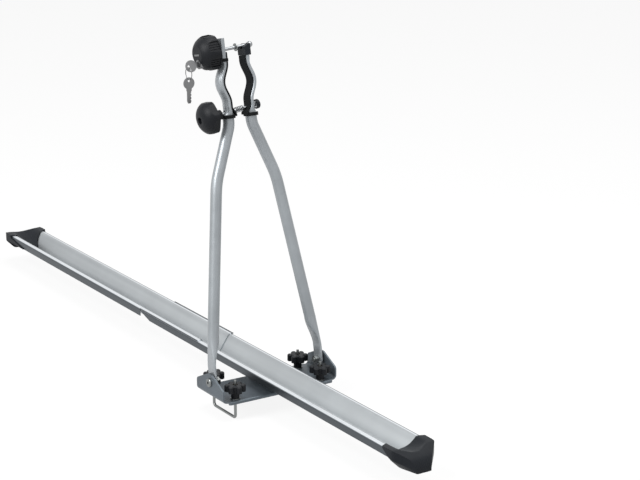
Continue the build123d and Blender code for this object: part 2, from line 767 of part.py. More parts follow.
def foot():
    """Foot of the arm on the far side: the tube's end pressed flat, with a rounded tip on the pivot."""
    tilt = math.atan((TUBE_START_OUT - LOW_BEND_OUT) / (LOW_BEND_UP - TUBE_START))
    round_size = (TUBE_RADIUS + WELD_STEP) * 2
    sections = []
    for step in range(FOOT_STEPS + 1):
        share = step / FOOT_STEPS
        press = smooth_step(share)
        up = FOOT_FLAT_TOP + (TUBE_START - FOOT_FLAT_TOP) * share
        out = FOOT_OUT + (TUBE_START_OUT - FOOT_OUT) * (press + share) / 2
        width = FOOT_WIDTH + (round_size - FOOT_WIDTH) * press
        thick = FOOT_THICK + (round_size - FOOT_THICK) * press
        corner = min(width, thick) / 2 - CORNER_SPARE
        sections.append(foot_section(up, out, width, thick, tilt * press, corner))
    neck = loft(sections)
    y_span = (FOOT_OUT - FOOT_THICK / 2, FOOT_OUT + FOOT_THICK / 2)
    blade = block((-FOOT_WIDTH / 2, FOOT_WIDTH / 2), y_span, (0, FOOT_FLAT_TOP))
    blade += rod(FOOT_WIDTH / 2, (0, y_span[0], 0), (0, y_span[1], 0))
    long_edges = blade.edges().filter_by(Axis.Z)
    blade = fillet(long_edges, FOOT_THICK / 2 - CORNER_SPARE)
    return blade + neck


def tube_path():
    """Middle line of the tube of the arm on the far side."""
    points = [
        (0, TUBE_START_OUT, TUBE_START),
        (0, LOW_BEND_OUT, LOW_BEND_UP),
        (0, HIGH_BEND_OUT, HIGH_BEND_UP),
        (0, HIGH_BEND_OUT, TUBE_END),
    ]
    return FilletPolyline(*points, radius=[LOW_BEND_RADIUS, HIGH_BEND_RADIUS])


def arm_blank():
    """Arm on the far side, upright with its pivot at zero, before its holes."""
    path = tube_path()
    start = Plane(origin=path @ 0, x_dir=(1, 0, 0), z_dir=path % 0)
    ring = start * (Circle(TUBE_RADIUS) - Circle(TUBE_RADIUS - TUBE_WALL))
    tube = sweep(ring, path=path)
    return foot() + tube + jaw()


def arm_bores(side):
    """Holes in an arm for the pivot, the lower screw, the upper bolt and the rivets of its pad."""
    foot_inner = side * (FOOT_OUT - FOOT_THICK)
    bores = rod(PIVOT_RADIUS + BORE_GAP, (0, side * EAR_OUTER, 0), (0, foot_inner, 0))
    end = side * (HIGH_BEND_OUT + TUBE_RADIUS * 2)
    rise = math.tan(LOWER_SLOPE)
    bores += rod(SCREW_RADIUS + SCREW_PLAY, (0, 0, LOWER_AXIS_UP), (0, end, LOWER_AXIS_UP + end * rise))
    if side < 0:
        rise = math.tan(UPPER_SLOPE)
        bores += rod(BOLT_RADIUS + RUN_GAP, (0, 0, UPPER_AXIS_UP), (0, end, UPPER_AXIS_UP + end * rise))
    return bores + pad_rivet_bars(side)


def pad_rivet_bars(side):
    """Round bars of the rivets that hold a rubber pad on its jaw."""
    bars = Part()
    for up in PAD_RIVET_PLACES:
        face = jaw_face(up) - SOFT_GAP - GRIP_THICK
        start = (0, side * (face + PAD_RIVET_SUNK), up)
        end = (0, side * (face + PAD_RIVET_LENGTH), up)
        bars += rod(PAD_RIVET_RADIUS, start, end)
    return bars


def fork_slot():
    """Open slot along the axis of the upper bolt, into which the bolt drops from above."""
    half = BOLT_RADIUS + RUN_GAP
    tall = TOP_END - FORK_LOW
    profile = Pos(0, half + FORK_DROP - tall / 2) * SlotOverall(tall, half * 2, rotation=90)
    slot = Pos(0, 0, JAW_FACE_OUT / 2) * extrude(profile, JAW_FACE_OUT)
    return Pos(0, 0, UPPER_AXIS_UP) * Rot(UPPER_AXIS_RISE - 90, 0, 0) * slot


def near_arm(blank):
    """Arm on the near side."""
    return upright_to_arm(mirror(blank, about=Plane.XZ) - arm_bores(-1))


def far_arm(blank):
    """Arm on the far side, cut off under the upper bolt for its moulded fork."""
    deep = JAW_FACE_OUT + JAW_DEPTH * 2
    screw = rod(FORK_SCREW_RADIUS, (0, 0, FORK_SCREW_UP), (0, deep, FORK_SCREW_UP))
    above = block((-JAW_WIDTH, JAW_WIDTH), (0, deep), (FAR_TOP, TOP_END + CUT_OVER))
    return upright_to_arm(blank - above - arm_bores(1) - screw)


def jaw_slope(up):
    """Slope of the jaw's inner face at a height."""
    return (jaw_face(up + BEVEL) - jaw_face(up - BEVEL)) / (BEVEL * 2)


def grip_line(away, top):
    """Points of a line along the jaw's inner face, at a distance from it."""
    points = []
    for step in range(GRIP_STEPS + 1):
        up = GRIP_START + (top - GRIP_START) * step / GRIP_STEPS
        points.append((jaw_face(up) - away * math.hypot(1, jaw_slope(up)), up))
    return points


def grip_strip(top):
    """Long rubber strip that follows the inner face of the jaw on the far side."""
    back = grip_line(SOFT_GAP, top)
    front = grip_line(SOFT_GAP + GRIP_THICK, top)
    outline = [Spline(*back), Spline(*front), Line(back[0], front[0]), Line(back[-1], front[-1])]
    return Pos(-GRIP_WIDTH / 2, 0, 0) * extrude(Plane.YZ * make_face(outline), GRIP_WIDTH, dir=(1, 0, 0))


def low_band():
    """Round band of the pad that wraps the tube under the jaw."""
    inner = TUBE_RADIUS + WELD_STEP * 2 + SOFT_GAP
    low = GRIP_BAND_UP - GRIP_BAND_TALL
    ring = extrude(Circle(inner + GRIP_BAND_THICK) - Circle(inner), GRIP_BAND_TALL)
    return Pos(0, HIGH_BEND_OUT, low) * ring


def top_band():
    """Band of the near pad that grips both edges of the thin top of the jaw."""
    face = jaw_face(TOP_BAND_UP)
    wide = TOP_WIDTH / 2 + SOFT_GAP
    deep = face + TOP_DEPTH + SOFT_GAP
    heights = (TOP_BAND_UP - TOP_BAND_TALL / 2, TOP_BAND_UP + TOP_BAND_TALL / 2)
    outer = block(
        (-wide - GRIP_BAND_THICK, wide + GRIP_BAND_THICK),
        (face - SOFT_GAP - GRIP_THICK, deep + GRIP_BAND_THICK),
        heights,
    )
    outer -= block((-wide, wide), (face - SOFT_GAP, deep), (0, TOP_END))
    back = deep + GRIP_BAND_THICK + CUT_OVER
    return outer - block((-TOP_BAND_LIP, TOP_BAND_LIP), (face, back), (0, TOP_END))


def grip_pad(side):
    """Rubber pad on the inner face of a jaw, with its bands."""
    pad = grip_strip(GRIP_TOP if side < 0 else FORK_LOW - SOFT_GAP) + low_band()
    if side < 0:
        pad += top_band()
    end = HIGH_BEND_OUT + TUBE_RADIUS * 2
    rise = math.tan(LOWER_SLOPE) * side
    pad -= rod(SCREW_RADIUS + SCREW_PLAY, (0, 0, LOWER_AXIS_UP), (0, end, LOWER_AXIS_UP + end * rise))
    pad -= pad_rivet_bars(1)
    if side < 0:
        pad = mirror(pad, about=Plane.XZ)
    return upright_to_arm(pad)


def fork_cap():
    """Black moulded cap on the far jaw: a fork with an open slot, higher on its outer side."""
    wide = TOP_WIDTH / 2 + FORK_WALL
    inner_face = JAW_FACE_OUT - SOFT_GAP
    outer_face = JAW_FACE_OUT + TOP_DEPTH + SOFT_GAP
    near = inner_face - FORK_WALL
    far = outer_face + FORK_WALL
    body = block((-wide, wide), (near, far), (FORK_LOW, FORK_HIGH))
    body = fillet(body.edges().filter_by(Axis.Y), FORK_WALL)
    slope = Polyline(
        (near - CUT_OVER, FORK_TOP),
        (outer_face, FORK_HIGH + BEVEL),
        (near - CUT_OVER, FORK_HIGH + CUT_OVER * 2),
        close=True,
    )
    body -= extrude(Plane.YZ * make_face(slope), wide + CUT_OVER, both=True)
    wide_in = TOP_WIDTH / 2 + SOFT_GAP
    body -= block((-wide_in, wide_in), (inner_face, outer_face), (0, FAR_TOP + SOFT_GAP))
    body -= rod(FORK_SCREW_RADIUS, (0, JAW_FACE_OUT, FORK_SCREW_UP), (0, far + CUT_OVER, FORK_SCREW_UP))
    return upright_to_arm(body - fork_slot())


def hexed(radius, start, end):
    """Rounded six sided bar used to give a knob its flats."""
    shape = fillet(RegularPolygon(radius * KNOB_CORNER_SHARE, 6).vertices(), radius * KNOB_ROUND_SHARE)
    return Pos(0, 0, start) * extrude(shape, end - start)


def lower_knob():
    """Knob on the lower screw: a dome, a cone towards the arm and a neck."""
    radius = LOWER_KNOB_RADIUS
    disc = LOWER_KNOB_DISC
    apex = disc - LOWER_KNOB_DOME
    neck = LOWER_NECK_RADIUS
    rim = LOWER_KNOB_DOME * KNOB_RIM_SHARE
    start = LOWER_NECK_START
    cone = (radius * CONE_OUT_SHARE, start - neck * CONE_DROP_SHARE)
    dome = (radius * DOME_OUT_SHARE, disc - LOWER_KNOB_DOME * DOME_DROP_SHARE)
    lines = [
        Line((0, start), (neck, start)),
        Line((neck, start), (neck, start - neck)),
        ThreePointArc((neck, start - neck), cone, (radius, disc + rim / 2)),
        Line((radius, disc + rim / 2), (radius, disc - rim / 2)),
        ThreePointArc((radius, disc - rim / 2), dome, (LOWER_RECESS_RADIUS, apex)),
        Line((LOWER_RECESS_RADIUS, apex), (0, apex)),
        Line((0, apex), (0, start)),
    ]
    body = revolve(Plane.XZ * make_face(lines), Axis.Z)
    body &= hexed(radius, apex - CUT_OVER, start + CUT_OVER)
    body -= rod(LOWER_RECESS_RADIUS, (0, 0, apex - CUT_OVER), (0, 0, apex + LOWER_RECESS_DEPTH))
    body -= rod(INSERT_RADIUS, (0, 0, SCREW_END - SCREW_TRAVEL), (0, 0, start + CUT_OVER))
    return on_lower_axis(body)


def lower_insert():
    """Threaded metal insert in the lower knob, long enough for the screw's whole travel."""
    end = SCREW_END - SCREW_TRAVEL
    bush = rod(INSERT_RADIUS, (0, 0, end), (0, 0, LOWER_NECK_START))
    bush -= rod(SCREW_RADIUS + FIT_GAP, (0, 0, end - CUT_OVER), (0, 0, LOWER_NECK_START + CUT_OVER))
    return on_lower_axis(bush)


def clamp_screw():
    """Lower screw through both arms, with a collar under its head cap."""
    top = SCREW_HEAD_SEAT + SCREW_HEAD_THICK / 2
    bar = rod(SCREW_RADIUS, (0, 0, SCREW_END), (0, 0, top))
    collar = rod(SCREW_RADIUS * SCREW_COLLAR_SHARE, (0, 0, SCREW_HEAD_SEAT), (0, 0, top))
    return on_lower_axis(bar + collar)


def screw_cap():
    """Black round cap pressed over the head of the lower screw."""
    seat = SCREW_HEAD_SEAT
    end = seat + SCREW_HEAD_THICK
    dome = rod(SCREW_HEAD_RADIUS, (0, 0, seat), (0, 0, end))
    dome = fillet(dome.edges().group_by(Axis.Z)[-1], SCREW_HEAD_THICK * SCREW_HEAD_ROUND_SHARE)
    collar = SCREW_RADIUS * SCREW_COLLAR_SHARE
    dome -= rod(collar, (0, 0, seat - CUT_OVER), (0, 0, seat + SCREW_HEAD_THICK / 2))
    return on_lower_axis(dome)


def spring_points():
    """Points on the middle line of the spring, from one end of its wire to the other."""
    lead = SPRING_WIRE * 2
    length = SPRING_END - SPRING_START - lead * 2
    count = SPRING_TURNS * SPRING_STEPS
    points = []
    for step in range(count + 1):
        turn = 2 * math.pi * SPRING_TURNS * step / count
        height = SPRING_START + lead + length * step / count
        points.append((SPRING_RADIUS * math.cos(turn), SPRING_RADIUS * math.sin(turn), height))
    return points


def least_self_gap(points, wire):
    """Least free gap between stretches of one wire, measured on points along it."""
    apart = SPRING_STEPS // 2
    least = math.inf
    for first, start in enumerate(points):
        for end in points[first + apart :]:
            least = min(least, math.dist(start, end))
    return least - wire * 2


def clamp_spring():
    """Coil spring on the lower screw that pushes the jaws apart, one unbroken wire."""
    lead = SPRING_WIRE * 2
    length = SPRING_END - SPRING_START - lead * 2
    points = spring_points()
    print("least gap of the spring to itself", round(least_self_gap(points, SPRING_WIRE), 2))
    coil = Pos(0, 0, SPRING_START + lead) * Helix(length / SPRING_TURNS, length, SPRING_RADIUS)
    start = Plane(origin=coil @ 0, x_dir=(1, 0, 0), z_dir=coil % 0)
    wire = sweep(start * Circle(SPRING_WIRE), path=coil, is_frenet=True)
    return on_lower_axis(wire)


def star_profile():
    """Outline of a star knob: round lobes on a ring, joined by a round core."""
    lobe = STAR_RADIUS * STAR_LOBE_SHARE
    shape = Circle(STAR_RADIUS - lobe * STAR_CORE_SHARE)
    for index in range(STAR_LOBES):
        angle = 2 * math.pi * index / STAR_LOBES
        reach = STAR_RADIUS - lobe
        shape += Pos(reach * math.cos(angle), reach * math.sin(angle)) * Circle(lobe)
    return shape


def star_knob(x_side, y_side):
    """Star knob on one leg of a U bolt: a lobed head on a round hub."""
    start = PLATE_TOP + WASHER_THICK
    hub = rod(STAR_HUB_RADIUS, (0, 0, 0), (0, 0, STAR_HUB_TALL + BEVEL))
    head = Pos(0, 0, STAR_HUB_TALL) * extrude(star_profile(), STAR_TALL - STAR_HUB_TALL)
    head = chamfer(head.edges().group_by(Axis.Z)[-1], STAR_CROWN)
    head = chamfer(head.edges().group_by(Axis.Z)[0], STAR_CROWN / 2)
    body = hub + head - rod(INSERT_RADIUS, (0, 0, -CUT_OVER), (0, 0, STAR_TALL + CUT_OVER))
    place = (x_side * U_BOLT_SPREAD / 2, y_side * U_BOLT_PLACE, start)
    return Pos(*place) * body


def star_insert(x_side, y_side):
    """Threaded brass insert of a star knob."""
    start = PLATE_TOP + WASHER_THICK
    bush = rod(INSERT_RADIUS, (0, 0, 0), (0, 0, STAR_TALL - STAR_CROWN))
    bush -= rod(U_BOLT_RADIUS + FIT_GAP, (0, 0, -CUT_OVER), (0, 0, STAR_TALL))
    return Pos(x_side * U_BOLT_SPREAD / 2, y_side * U_BOLT_PLACE, start) * bush


def star_washers():
    """Four washers under the star knobs."""
    washers = []
    for x_side in (-1, 1):
        for y_side in (-1, 1):
            place = (x_side * U_BOLT_SPREAD / 2, y_side * U_BOLT_PLACE)
            ring = rod(WASHER_RADIUS, (*place, PLATE_TOP), (*place, PLATE_TOP + WASHER_THICK))
            top = PLATE_TOP + WASHER_THICK + CUT_OVER
            ring -= rod(U_BOLT_RADIUS + BORE_GAP, (*place, 0), (*place, top))
            washers.append(one_solid(ring))
    return Compound(children=washers)


def u_bolt(side):
    """Square bent rod that goes round the roof bar, its threaded ends up through the bracket."""
    half = U_BOLT_SPREAD / 2
    middle = U_BOLT_BOTTOM + U_BOLT_RADIUS
    place = side * U_BOLT_PLACE
    points = [(-half, place, U_BOLT_TOP), (-half, place, middle)]
    points += [(half, place, middle), (half, place, U_BOLT_TOP)]
    path = FilletPolyline(*points, radius=U_BOLT_BEND)
    start = Plane(origin=points[0], z_dir=(0, 0, -1))
    return sweep(start * Circle(U_BOLT_RADIUS), path=path)


def pivot_bolt(side):
    """Pivot bolt of one arm with a low flanged head and a socket, outside the ear."""
    head_y = side * (EAR_OUTER + PIVOT_HEAD_THICK)
    end_y = side * (FOOT_OUT - FOOT_THICK / 2 - NUT_GAP - PIVOT_NUT_THICK - PIVOT_THREAD_END)
    shank = rod(PIVOT_RADIUS, (0, side * EAR_OUTER, PIVOT_HEIGHT), (0, end_y, PIVOT_HEIGHT))
    head = rod(PIVOT_HEAD_RADIUS, (0, side * EAR_OUTER, PIVOT_HEIGHT), (0, head_y, PIVOT_HEIGHT))
    outer = head.edges().sort_by(Axis.Y)[-1 if side > 0 else 0]
    head = fillet(outer, PIVOT_HEAD_THICK * PIVOT_ROUND_SHARE)
    floor_y = head_y - side * PIVOT_SOCKET_DEPTH
    socket = hex_bar(PIVOT_SOCKET_ACROSS, (0, head_y, PIVOT_HEIGHT), (0, floor_y, PIVOT_HEIGHT))
    return shank + head - socket


def pivot_nut(side):
    """Nut on the inner end of a pivot bolt."""
    outer = side * (FOOT_OUT - FOOT_THICK / 2 - NUT_GAP)
    inner = outer - side * PIVOT_NUT_THICK
    nut = hex_bar(PIVOT_NUT_ACROSS, (0, inner, PIVOT_HEIGHT), (0, outer, PIVOT_HEIGHT))
    nut &= Pos(0, (inner + outer) / 2, PIVOT_HEIGHT) * Sphere(PIVOT_NUT_ACROSS * NUT_CROWN_SHARE)
    over = side * CUT_OVER
    return nut - rod(PIVOT_RADIUS, (0, outer + over, PIVOT_HEIGHT), (0, inner - over, PIVOT_HEIGHT))


def upper_bolt():
    """Upper bolt with a ball on its far end, which drops into the fork of the far jaw."""
    bolt = rod(BOLT_RADIUS, (0, 0, BOLT_END), (0, 0, BALL_PLACE))
    ball = Pos(0, 0, BALL_PLACE) * Sphere(BALL_RADIUS)
    start = BALL_PLACE - BALL_RADIUS * COLLAR_START_SHARE
    collar = rod(BOLT_RADIUS * COLLAR_SHARE, (0, 0, start), (0, 0, BALL_PLACE))
    return on_upper_axis(bolt + collar + ball)


def stop_ring():
    """Thin round washer on the upper bolt that keeps it from falling out of the near jaw."""
    ring = rod(STOP_RING_RADIUS, (0, 0, STOP_RING_PLACE), (0, 0, STOP_RING_PLACE + STOP_RING_THICK))
    ring -= rod(BOLT_RADIUS, (0, 0, 0), (0, 0, STOP_RING_PLACE + STOP_RING_THICK + CUT_OVER))
    return on_upper_axis(ring)


def knob_profile(draw_in):
    """Outline of the lock knob from its middle to its rim: flat base, cone, wall and dome."""
    radius = LOCK_KNOB_RADIUS - draw_in
    base = LOCK_KNOB_BASE
    rim = LOCK_KNOB_DISC
    wall = rim - LOCK_KNOB_WALL
    face = LOCK_KNOB_FACE + draw_in
    tall = wall - face
    face_radius = radius * FACE_SHARE
    bend = math.sqrt(DIAGONAL_SHARE)
    middle_up = wall - tall * (1 - DIAGONAL_SHARE ** 2) * bend
    middle = (face_radius + (radius - face_radius) * bend, middle_up)
    lines = [
        Line((0, base), (LOCK_BASE_RADIUS, base)),
        Line((LOCK_BASE_RADIUS, base), (radius, rim)),
        Line((radius, rim), (radius, wall)),
        ThreePointArc((radius, wall), middle, (face_radius, face)),
        Line((face_radius, face), (0, face)),
        Line((0, face), (0, base)),
    ]
    return make_face(lines)


def lock_knob():
    """Locking knob with a rounded six sided body and a ribbed grip pocket on each side."""
    body = revolve(Plane.XZ * knob_profile(0), Axis.Z)
    turn = Rot(0, 0, LOCK_KNOB_TURN)
    body &= turn * hexed(LOCK_KNOB_RADIUS, LOCK_KNOB_FACE - CUT_OVER, LOCK_KNOB_BASE + CUT_OVER)
    for side in range(KNOB_SIDES):
        body -= Rot(0, 0, side * 360 / KNOB_SIDES) * pocket()
    drop = (0, LOCK_BARREL_DROP)
    end = LOCK_KNOB_FACE + LOCK_BARREL_LENGTH
    body -= rod(LOCK_BEZEL_RADIUS, (*drop, LOCK_KNOB_FACE - CUT_OVER), (*drop, end))
    body -= rod(INSERT_RADIUS, (0, 0, BOLT_END - BOLT_TRAVEL), (0, 0, LOCK_KNOB_BASE + CUT_OVER))
    body -= face_plate_block(0)
    return on_upper_axis(body)


def pocket():
    """Cut for one grip pocket: a rectangle sunk into a flat side, with ribs left standing."""
    flat = LOCK_KNOB_RADIUS * KNOB_CORNER_SHARE * FLAT_OF_HEX
    depth = GRIP_POCKET_DEPTH
    half = GRIP_POCKET_WIDTH / 2
    start = LOCK_KNOB_DISC - LOCK_KNOB_WALL - GRIP_POCKET_LENGTH * POCKET_SHARE
    span = (start, start + GRIP_POCKET_LENGTH)
    cut = block((flat - depth, flat + CUT_OVER), (-half, half), span)
    spacing = GRIP_POCKET_WIDTH / (GRIP_RIBS + 1)
    for rib in range(GRIP_RIBS):
        middle = -half + spacing * (rib + 1)
        cut -= block((0, flat - depth / 2), (middle - GRIP_RIB / 2, middle + GRIP_RIB / 2), span)
    return Rot(0, 0, LOCK_KNOB_TURN + 180 / KNOB_SIDES) * cut


def face_plate_block(gap):
    """Room of the small plate on the face of the lock knob, drawn in by a gap."""
    half = FACE_PLATE_LENGTH / 2 - gap
    tall = FACE_PLATE_WIDTH / 2 - gap
    face = LOCK_KNOB_FACE
    return block((-half, half), (-tall, tall), (face - FACE_PLATE_PROUD, face + FACE_PLATE_THICK))


def face_plate():
    """Small plain metal plate in the face of the lock knob."""
    return on_upper_axis(face_plate_block(FIT_GAP))


def lock_bezel():
    """Metal collar in the lock knob in which the lock turns."""
    place = (0, LOCK_BARREL_DROP)
    end = LOCK_KNOB_FACE + LOCK_BARREL_LENGTH
    start = LOCK_KNOB_FACE - LOCK_BARREL_PROUD
    ring = rod(LOCK_BEZEL_RADIUS, (*place, start + LOCK_BARREL_PROUD / 2), (*place, end))
    ring -= rod(LOCK_BARREL_RADIUS, (*place, start), (*place, end - LOCK_BEZEL_FLOOR))
    return on_upper_axis(ring)


def lock_barrel():
    """Turning part of the lock with its keyway."""
    place = (0, LOCK_BARREL_DROP)
    start = LOCK_KNOB_FACE - LOCK_BARREL_PROUD
    end = LOCK_KNOB_FACE + LOCK_BARREL_LENGTH - LOCK_BEZEL_FLOOR - RUN_GAP
    barrel = rod(LOCK_BARREL_RADIUS - LOCK_PLAY, (*place, start), (*place, end))
    wide = KEY_THICK / 2 + KEY_PLAY
    tall = KEY_BLADE_WIDTH / 2 + KEY_PLAY
    span = (LOCK_BARREL_DROP - tall, LOCK_BARREL_DROP + tall)
    barrel -= block((-wide, wide), span, (start - CUT_OVER, KEY_TIP + KEY_PLAY * 2))
    return on_upper_axis(barrel)


def key_shape():
    """A key in the YZ plane: round bow with a hole, a shoulder and a notched blade along +Y."""
    bow = Circle(KEY_BOW_RADIUS)
    reach = KEY_BOW_RADIUS + KEY_BLADE_LENGTH
    half = KEY_BLADE_WIDTH / 2
    notch = KEY_BLADE_WIDTH * NOTCH_SHARE
    points = [(0, -half), (reach - half, -half)]
    points += [(reach, -half + notch), (reach, half - notch), (reach - half, half)]
    for step in range(KEY_NOTCHES):
        right = reach - half - (step + NOTCH_SHARE) * half * NOTCH_STEP_SHARE
        points += [(right, half), (right - notch, half - notch), (right - notch * 2, half)]
    points.append((0, half))
    blade = make_face(Polyline(*points, close=True))
    shoulder = Rectangle(KEY_SHOULDER * 2, KEY_BLADE_WIDTH + KEY_SHOULDER)
    flat = bow + blade + Pos(KEY_BOW_RADIUS + KEY_SHOULDER / 2, 0) * shoulder
    return Plane.YZ * (flat - Pos(-KEY_HOLE_OUT, 0) * Circle(KEY_HOLE_RADIUS))


def key_in_lock():
    """Key in the lock, its flat sides upright."""
    key = Pos(-KEY_THICK / 2, 0, 0) * extrude(key_shape(), KEY_THICK, dir=(1, 0, 0))
    reach = KEY_TIP - KEY_BOW_RADIUS - KEY_BLADE_LENGTH
    up = UPPER_AXIS_UP + reach * math.sin(UPPER_SLOPE) - LOCK_BARREL_DROP * math.cos(UPPER_SLOPE)
    out = reach * math.cos(UPPER_SLOPE) + LOCK_BARREL_DROP * math.sin(UPPER_SLOPE)
    return upright_to_arm(Pos(0, out, up) * Rot(UPPER_AXIS_RISE, 0, 0) * key)


def key_hole_place():
    """Place of the hole of the key in the lock, in the world."""
    reach = KEY_TIP - KEY_BOW_RADIUS - KEY_BLADE_LENGTH - KEY_HOLE_OUT
    drop = LOCK_BARREL_DROP
    up = UPPER_AXIS_UP + reach * math.sin(UPPER_SLOPE) - drop * math.cos(UPPER_SLOPE)
    out = reach * math.cos(UPPER_SLOPE) + drop * math.sin(UPPER_SLOPE)
    lean = math.radians(LEAN)
    return (-up * math.sin(lean), out, PIVOT_HEIGHT + up * math.cos(lean))


def key_ring():
    """Wire ring that hangs upright in the key's hole."""
    x, y, z = key_hole_place()
    middle = z - KEY_HOLE_RADIUS + RING_WIRE + RING_HANG - RING_RADIUS
    return Pos(x, y, middle) * Rot(90, 0, 0) * Torus(RING_RADIUS, RING_WIRE)


def spare_key():
    """Second key that hangs from the ring with its blade down."""
    x, y, z = key_hole_place()
    ring_low = z - KEY_HOLE_RADIUS + RING_WIRE + RING_HANG - RING_RADIUS * 2
    hole_z = ring_low + RING_WIRE + RING_HANG - KEY_HOLE_RADIUS
    key = Pos(-KEY_THICK / 2, 0, 0) * extrude(key_shape(), KEY_THICK, dir=(1, 0, 0))
    return Pos(x, y, hole_z) * Rot(-90, 0, 0) * Pos(0, KEY_HOLE_OUT, 0) * key


def fork_screw():
    """Small screw that holds the moulded cap on the far jaw."""
    outer = JAW_FACE_OUT + TOP_DEPTH + SOFT_GAP + FORK_WALL
    up = FORK_SCREW_UP
    top = outer + FORK_SCREW_RADIUS * FORK_HEAD_SHARE
    head = rod(FORK_SCREW_RADIUS * 2, (0, outer, up), (0, top, up))
    head = fillet(head.edges().sort_by(Axis.Y)[-1], FORK_SCREW_RADIUS)
    shank = rod(FORK_SCREW_RADIUS, (0, JAW_FACE_OUT + FORK_WALL, up), (0, outer + FIT_GAP, up))
    return upright_to_arm(head + shank)


def pad_rivets(side):
    """Flush rivets that hold a rubber pad on its jaw."""
    return upright_to_arm(Compound(children=pad_rivet_bars(side).solids()))


def lock_insert():
    """Threaded metal insert in the lock knob, long enough for the bolt's whole travel."""
    end = BOLT_END - BOLT_TRAVEL
    bush = rod(INSERT_RADIUS, (0, 0, end), (0, 0, LOCK_KNOB_BASE))
    bush -= rod(BOLT_RADIUS + FIT_GAP, (0, 0, end - CUT_OVER), (0, 0, LOCK_KNOB_BASE + CUT_OVER))
    return on_upper_axis(bush)


save(rail_front(), "rail_front")
save(rail_rear(), "rail_rear")
save(joint_bolts(), "joint_bolts")
save(joint_nuts(), "joint_nuts")
save(rail_rivets(), "rail_rivets")
save(bracket(), "mount_bracket")
save(bar_pad(), "bar_pad")
save(Pos(FRONT_END, 0, 0) * end_cap(0, False), "end_cap_front")
rear_cap = end_cap(CHANNEL_WALL + NEST_GAP, True)
save(Pos(REAR_END, 0, 0) * Rot(0, 0, 180) * rear_cap, "end_cap_rear")
blank = arm_blank()
save(near_arm(blank), "near_arm")
save(far_arm(blank), "far_arm")
save(grip_pad(-1), "jaw_pad_near")
save(grip_pad(1), "jaw_pad_far")
save(fork_cap(), "fork_cap")
save(lower_knob(), "lower_knob")
save(lower_insert(), "lower_knob_insert")
save(clamp_screw(), "clamp_screw")
save(screw_cap(), "screw_cap")
save(clamp_spring(), "clamp_spring")
save(upper_bolt(), "upper_bolt")
save(stop_ring(), "stop_ring")
save(lock_knob(), "lock_knob")
save(lock_insert(), "lock_knob_insert")
save(face_plate(), "knob_face_plate")
save(lock_bezel(), "lock_bezel")
save(lock_barrel(), "lock_barrel")
save(key_in_lock(), "key_in_lock")
save(key_ring(), "key_ring")
save(spare_key(), "spare_key")
save(fork_screw(), "fork_screw")
save(pad_rivets(-1), "pad_rivets_near")
save(pad_rivets(1), "pad_rivets_far")
save(star_washers(), "star_washers")
for y_side in (-1, 1):
    save(u_bolt(y_side), "u_bolt_" + SIDES[y_side])
    save(pivot_bolt(y_side), "pivot_bolt_" + SIDES[y_side])
    save(pivot_nut(y_side), "pivot_nut_" + SIDES[y_side])
    for x_side in (-1, 1):
        tag = SIDES[y_side] + "_" + ENDS[x_side]
        save(star_knob(x_side, y_side), "star_knob_" + tag)
        save(star_insert(x_side, y_side), "star_insert_" + tag)
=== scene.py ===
# %% [markdown]
# # A roof mounted bike carrier, dressed
#
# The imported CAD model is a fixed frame: its rails, arms, knobs and screws already have their
# true shapes and places. This lesson gives each of them a finish, adds the rubber and the small
# details that are easier to work out as surfaces, and sets up floor, lamps and camera.
# Every length is in metres, and every finished piece stays where the frame says.

import json
import math

import bpy
import numpy as np
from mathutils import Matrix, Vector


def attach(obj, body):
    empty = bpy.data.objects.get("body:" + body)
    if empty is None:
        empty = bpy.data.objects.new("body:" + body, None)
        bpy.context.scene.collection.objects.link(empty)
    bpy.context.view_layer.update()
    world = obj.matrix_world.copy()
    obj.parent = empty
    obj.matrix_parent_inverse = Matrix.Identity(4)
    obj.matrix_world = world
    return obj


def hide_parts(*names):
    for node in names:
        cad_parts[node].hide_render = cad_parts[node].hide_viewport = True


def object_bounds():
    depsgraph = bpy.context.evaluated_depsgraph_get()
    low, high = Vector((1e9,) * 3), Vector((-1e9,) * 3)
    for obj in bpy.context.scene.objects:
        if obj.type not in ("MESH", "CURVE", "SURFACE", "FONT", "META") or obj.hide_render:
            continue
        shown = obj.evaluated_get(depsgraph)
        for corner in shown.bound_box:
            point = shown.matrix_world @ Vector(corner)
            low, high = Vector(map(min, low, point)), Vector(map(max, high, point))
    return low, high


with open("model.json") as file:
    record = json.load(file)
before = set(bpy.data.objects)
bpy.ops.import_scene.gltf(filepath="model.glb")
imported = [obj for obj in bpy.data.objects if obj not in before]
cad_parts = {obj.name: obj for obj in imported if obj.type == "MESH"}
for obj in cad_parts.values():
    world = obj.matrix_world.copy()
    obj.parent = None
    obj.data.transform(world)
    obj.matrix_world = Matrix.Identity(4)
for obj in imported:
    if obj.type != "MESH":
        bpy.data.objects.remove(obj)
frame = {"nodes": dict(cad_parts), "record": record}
nodes = frame["nodes"]


def plain_box(corners):
    """Lowest and highest corner as plain lists of numbers."""
    return [[float(value) for value in corner] for corner in corners]


cad_box = plain_box(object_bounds())
print("CAD box", cad_box, "with", len(nodes), "nodes")

# %% [markdown]
# ## Effects that several finishes share
#
# Brushed streaks, grain, smudges and worn edges appear on more than one metal or plastic. Each is
# a node group with named inputs, built once. Painting every material by hand would work too,
# but a group keeps the scale of the grain the same wherever it is used.

# %% Helpers for node groups
GRAIN_SCALE = 900.0
STREAK_SCALE = 260.0
SMUDGE_SCALE = 9.0
WORN_SCALE = 160.0
CORNER_REACH = 0.0012
CORNER_SAMPLES = 4


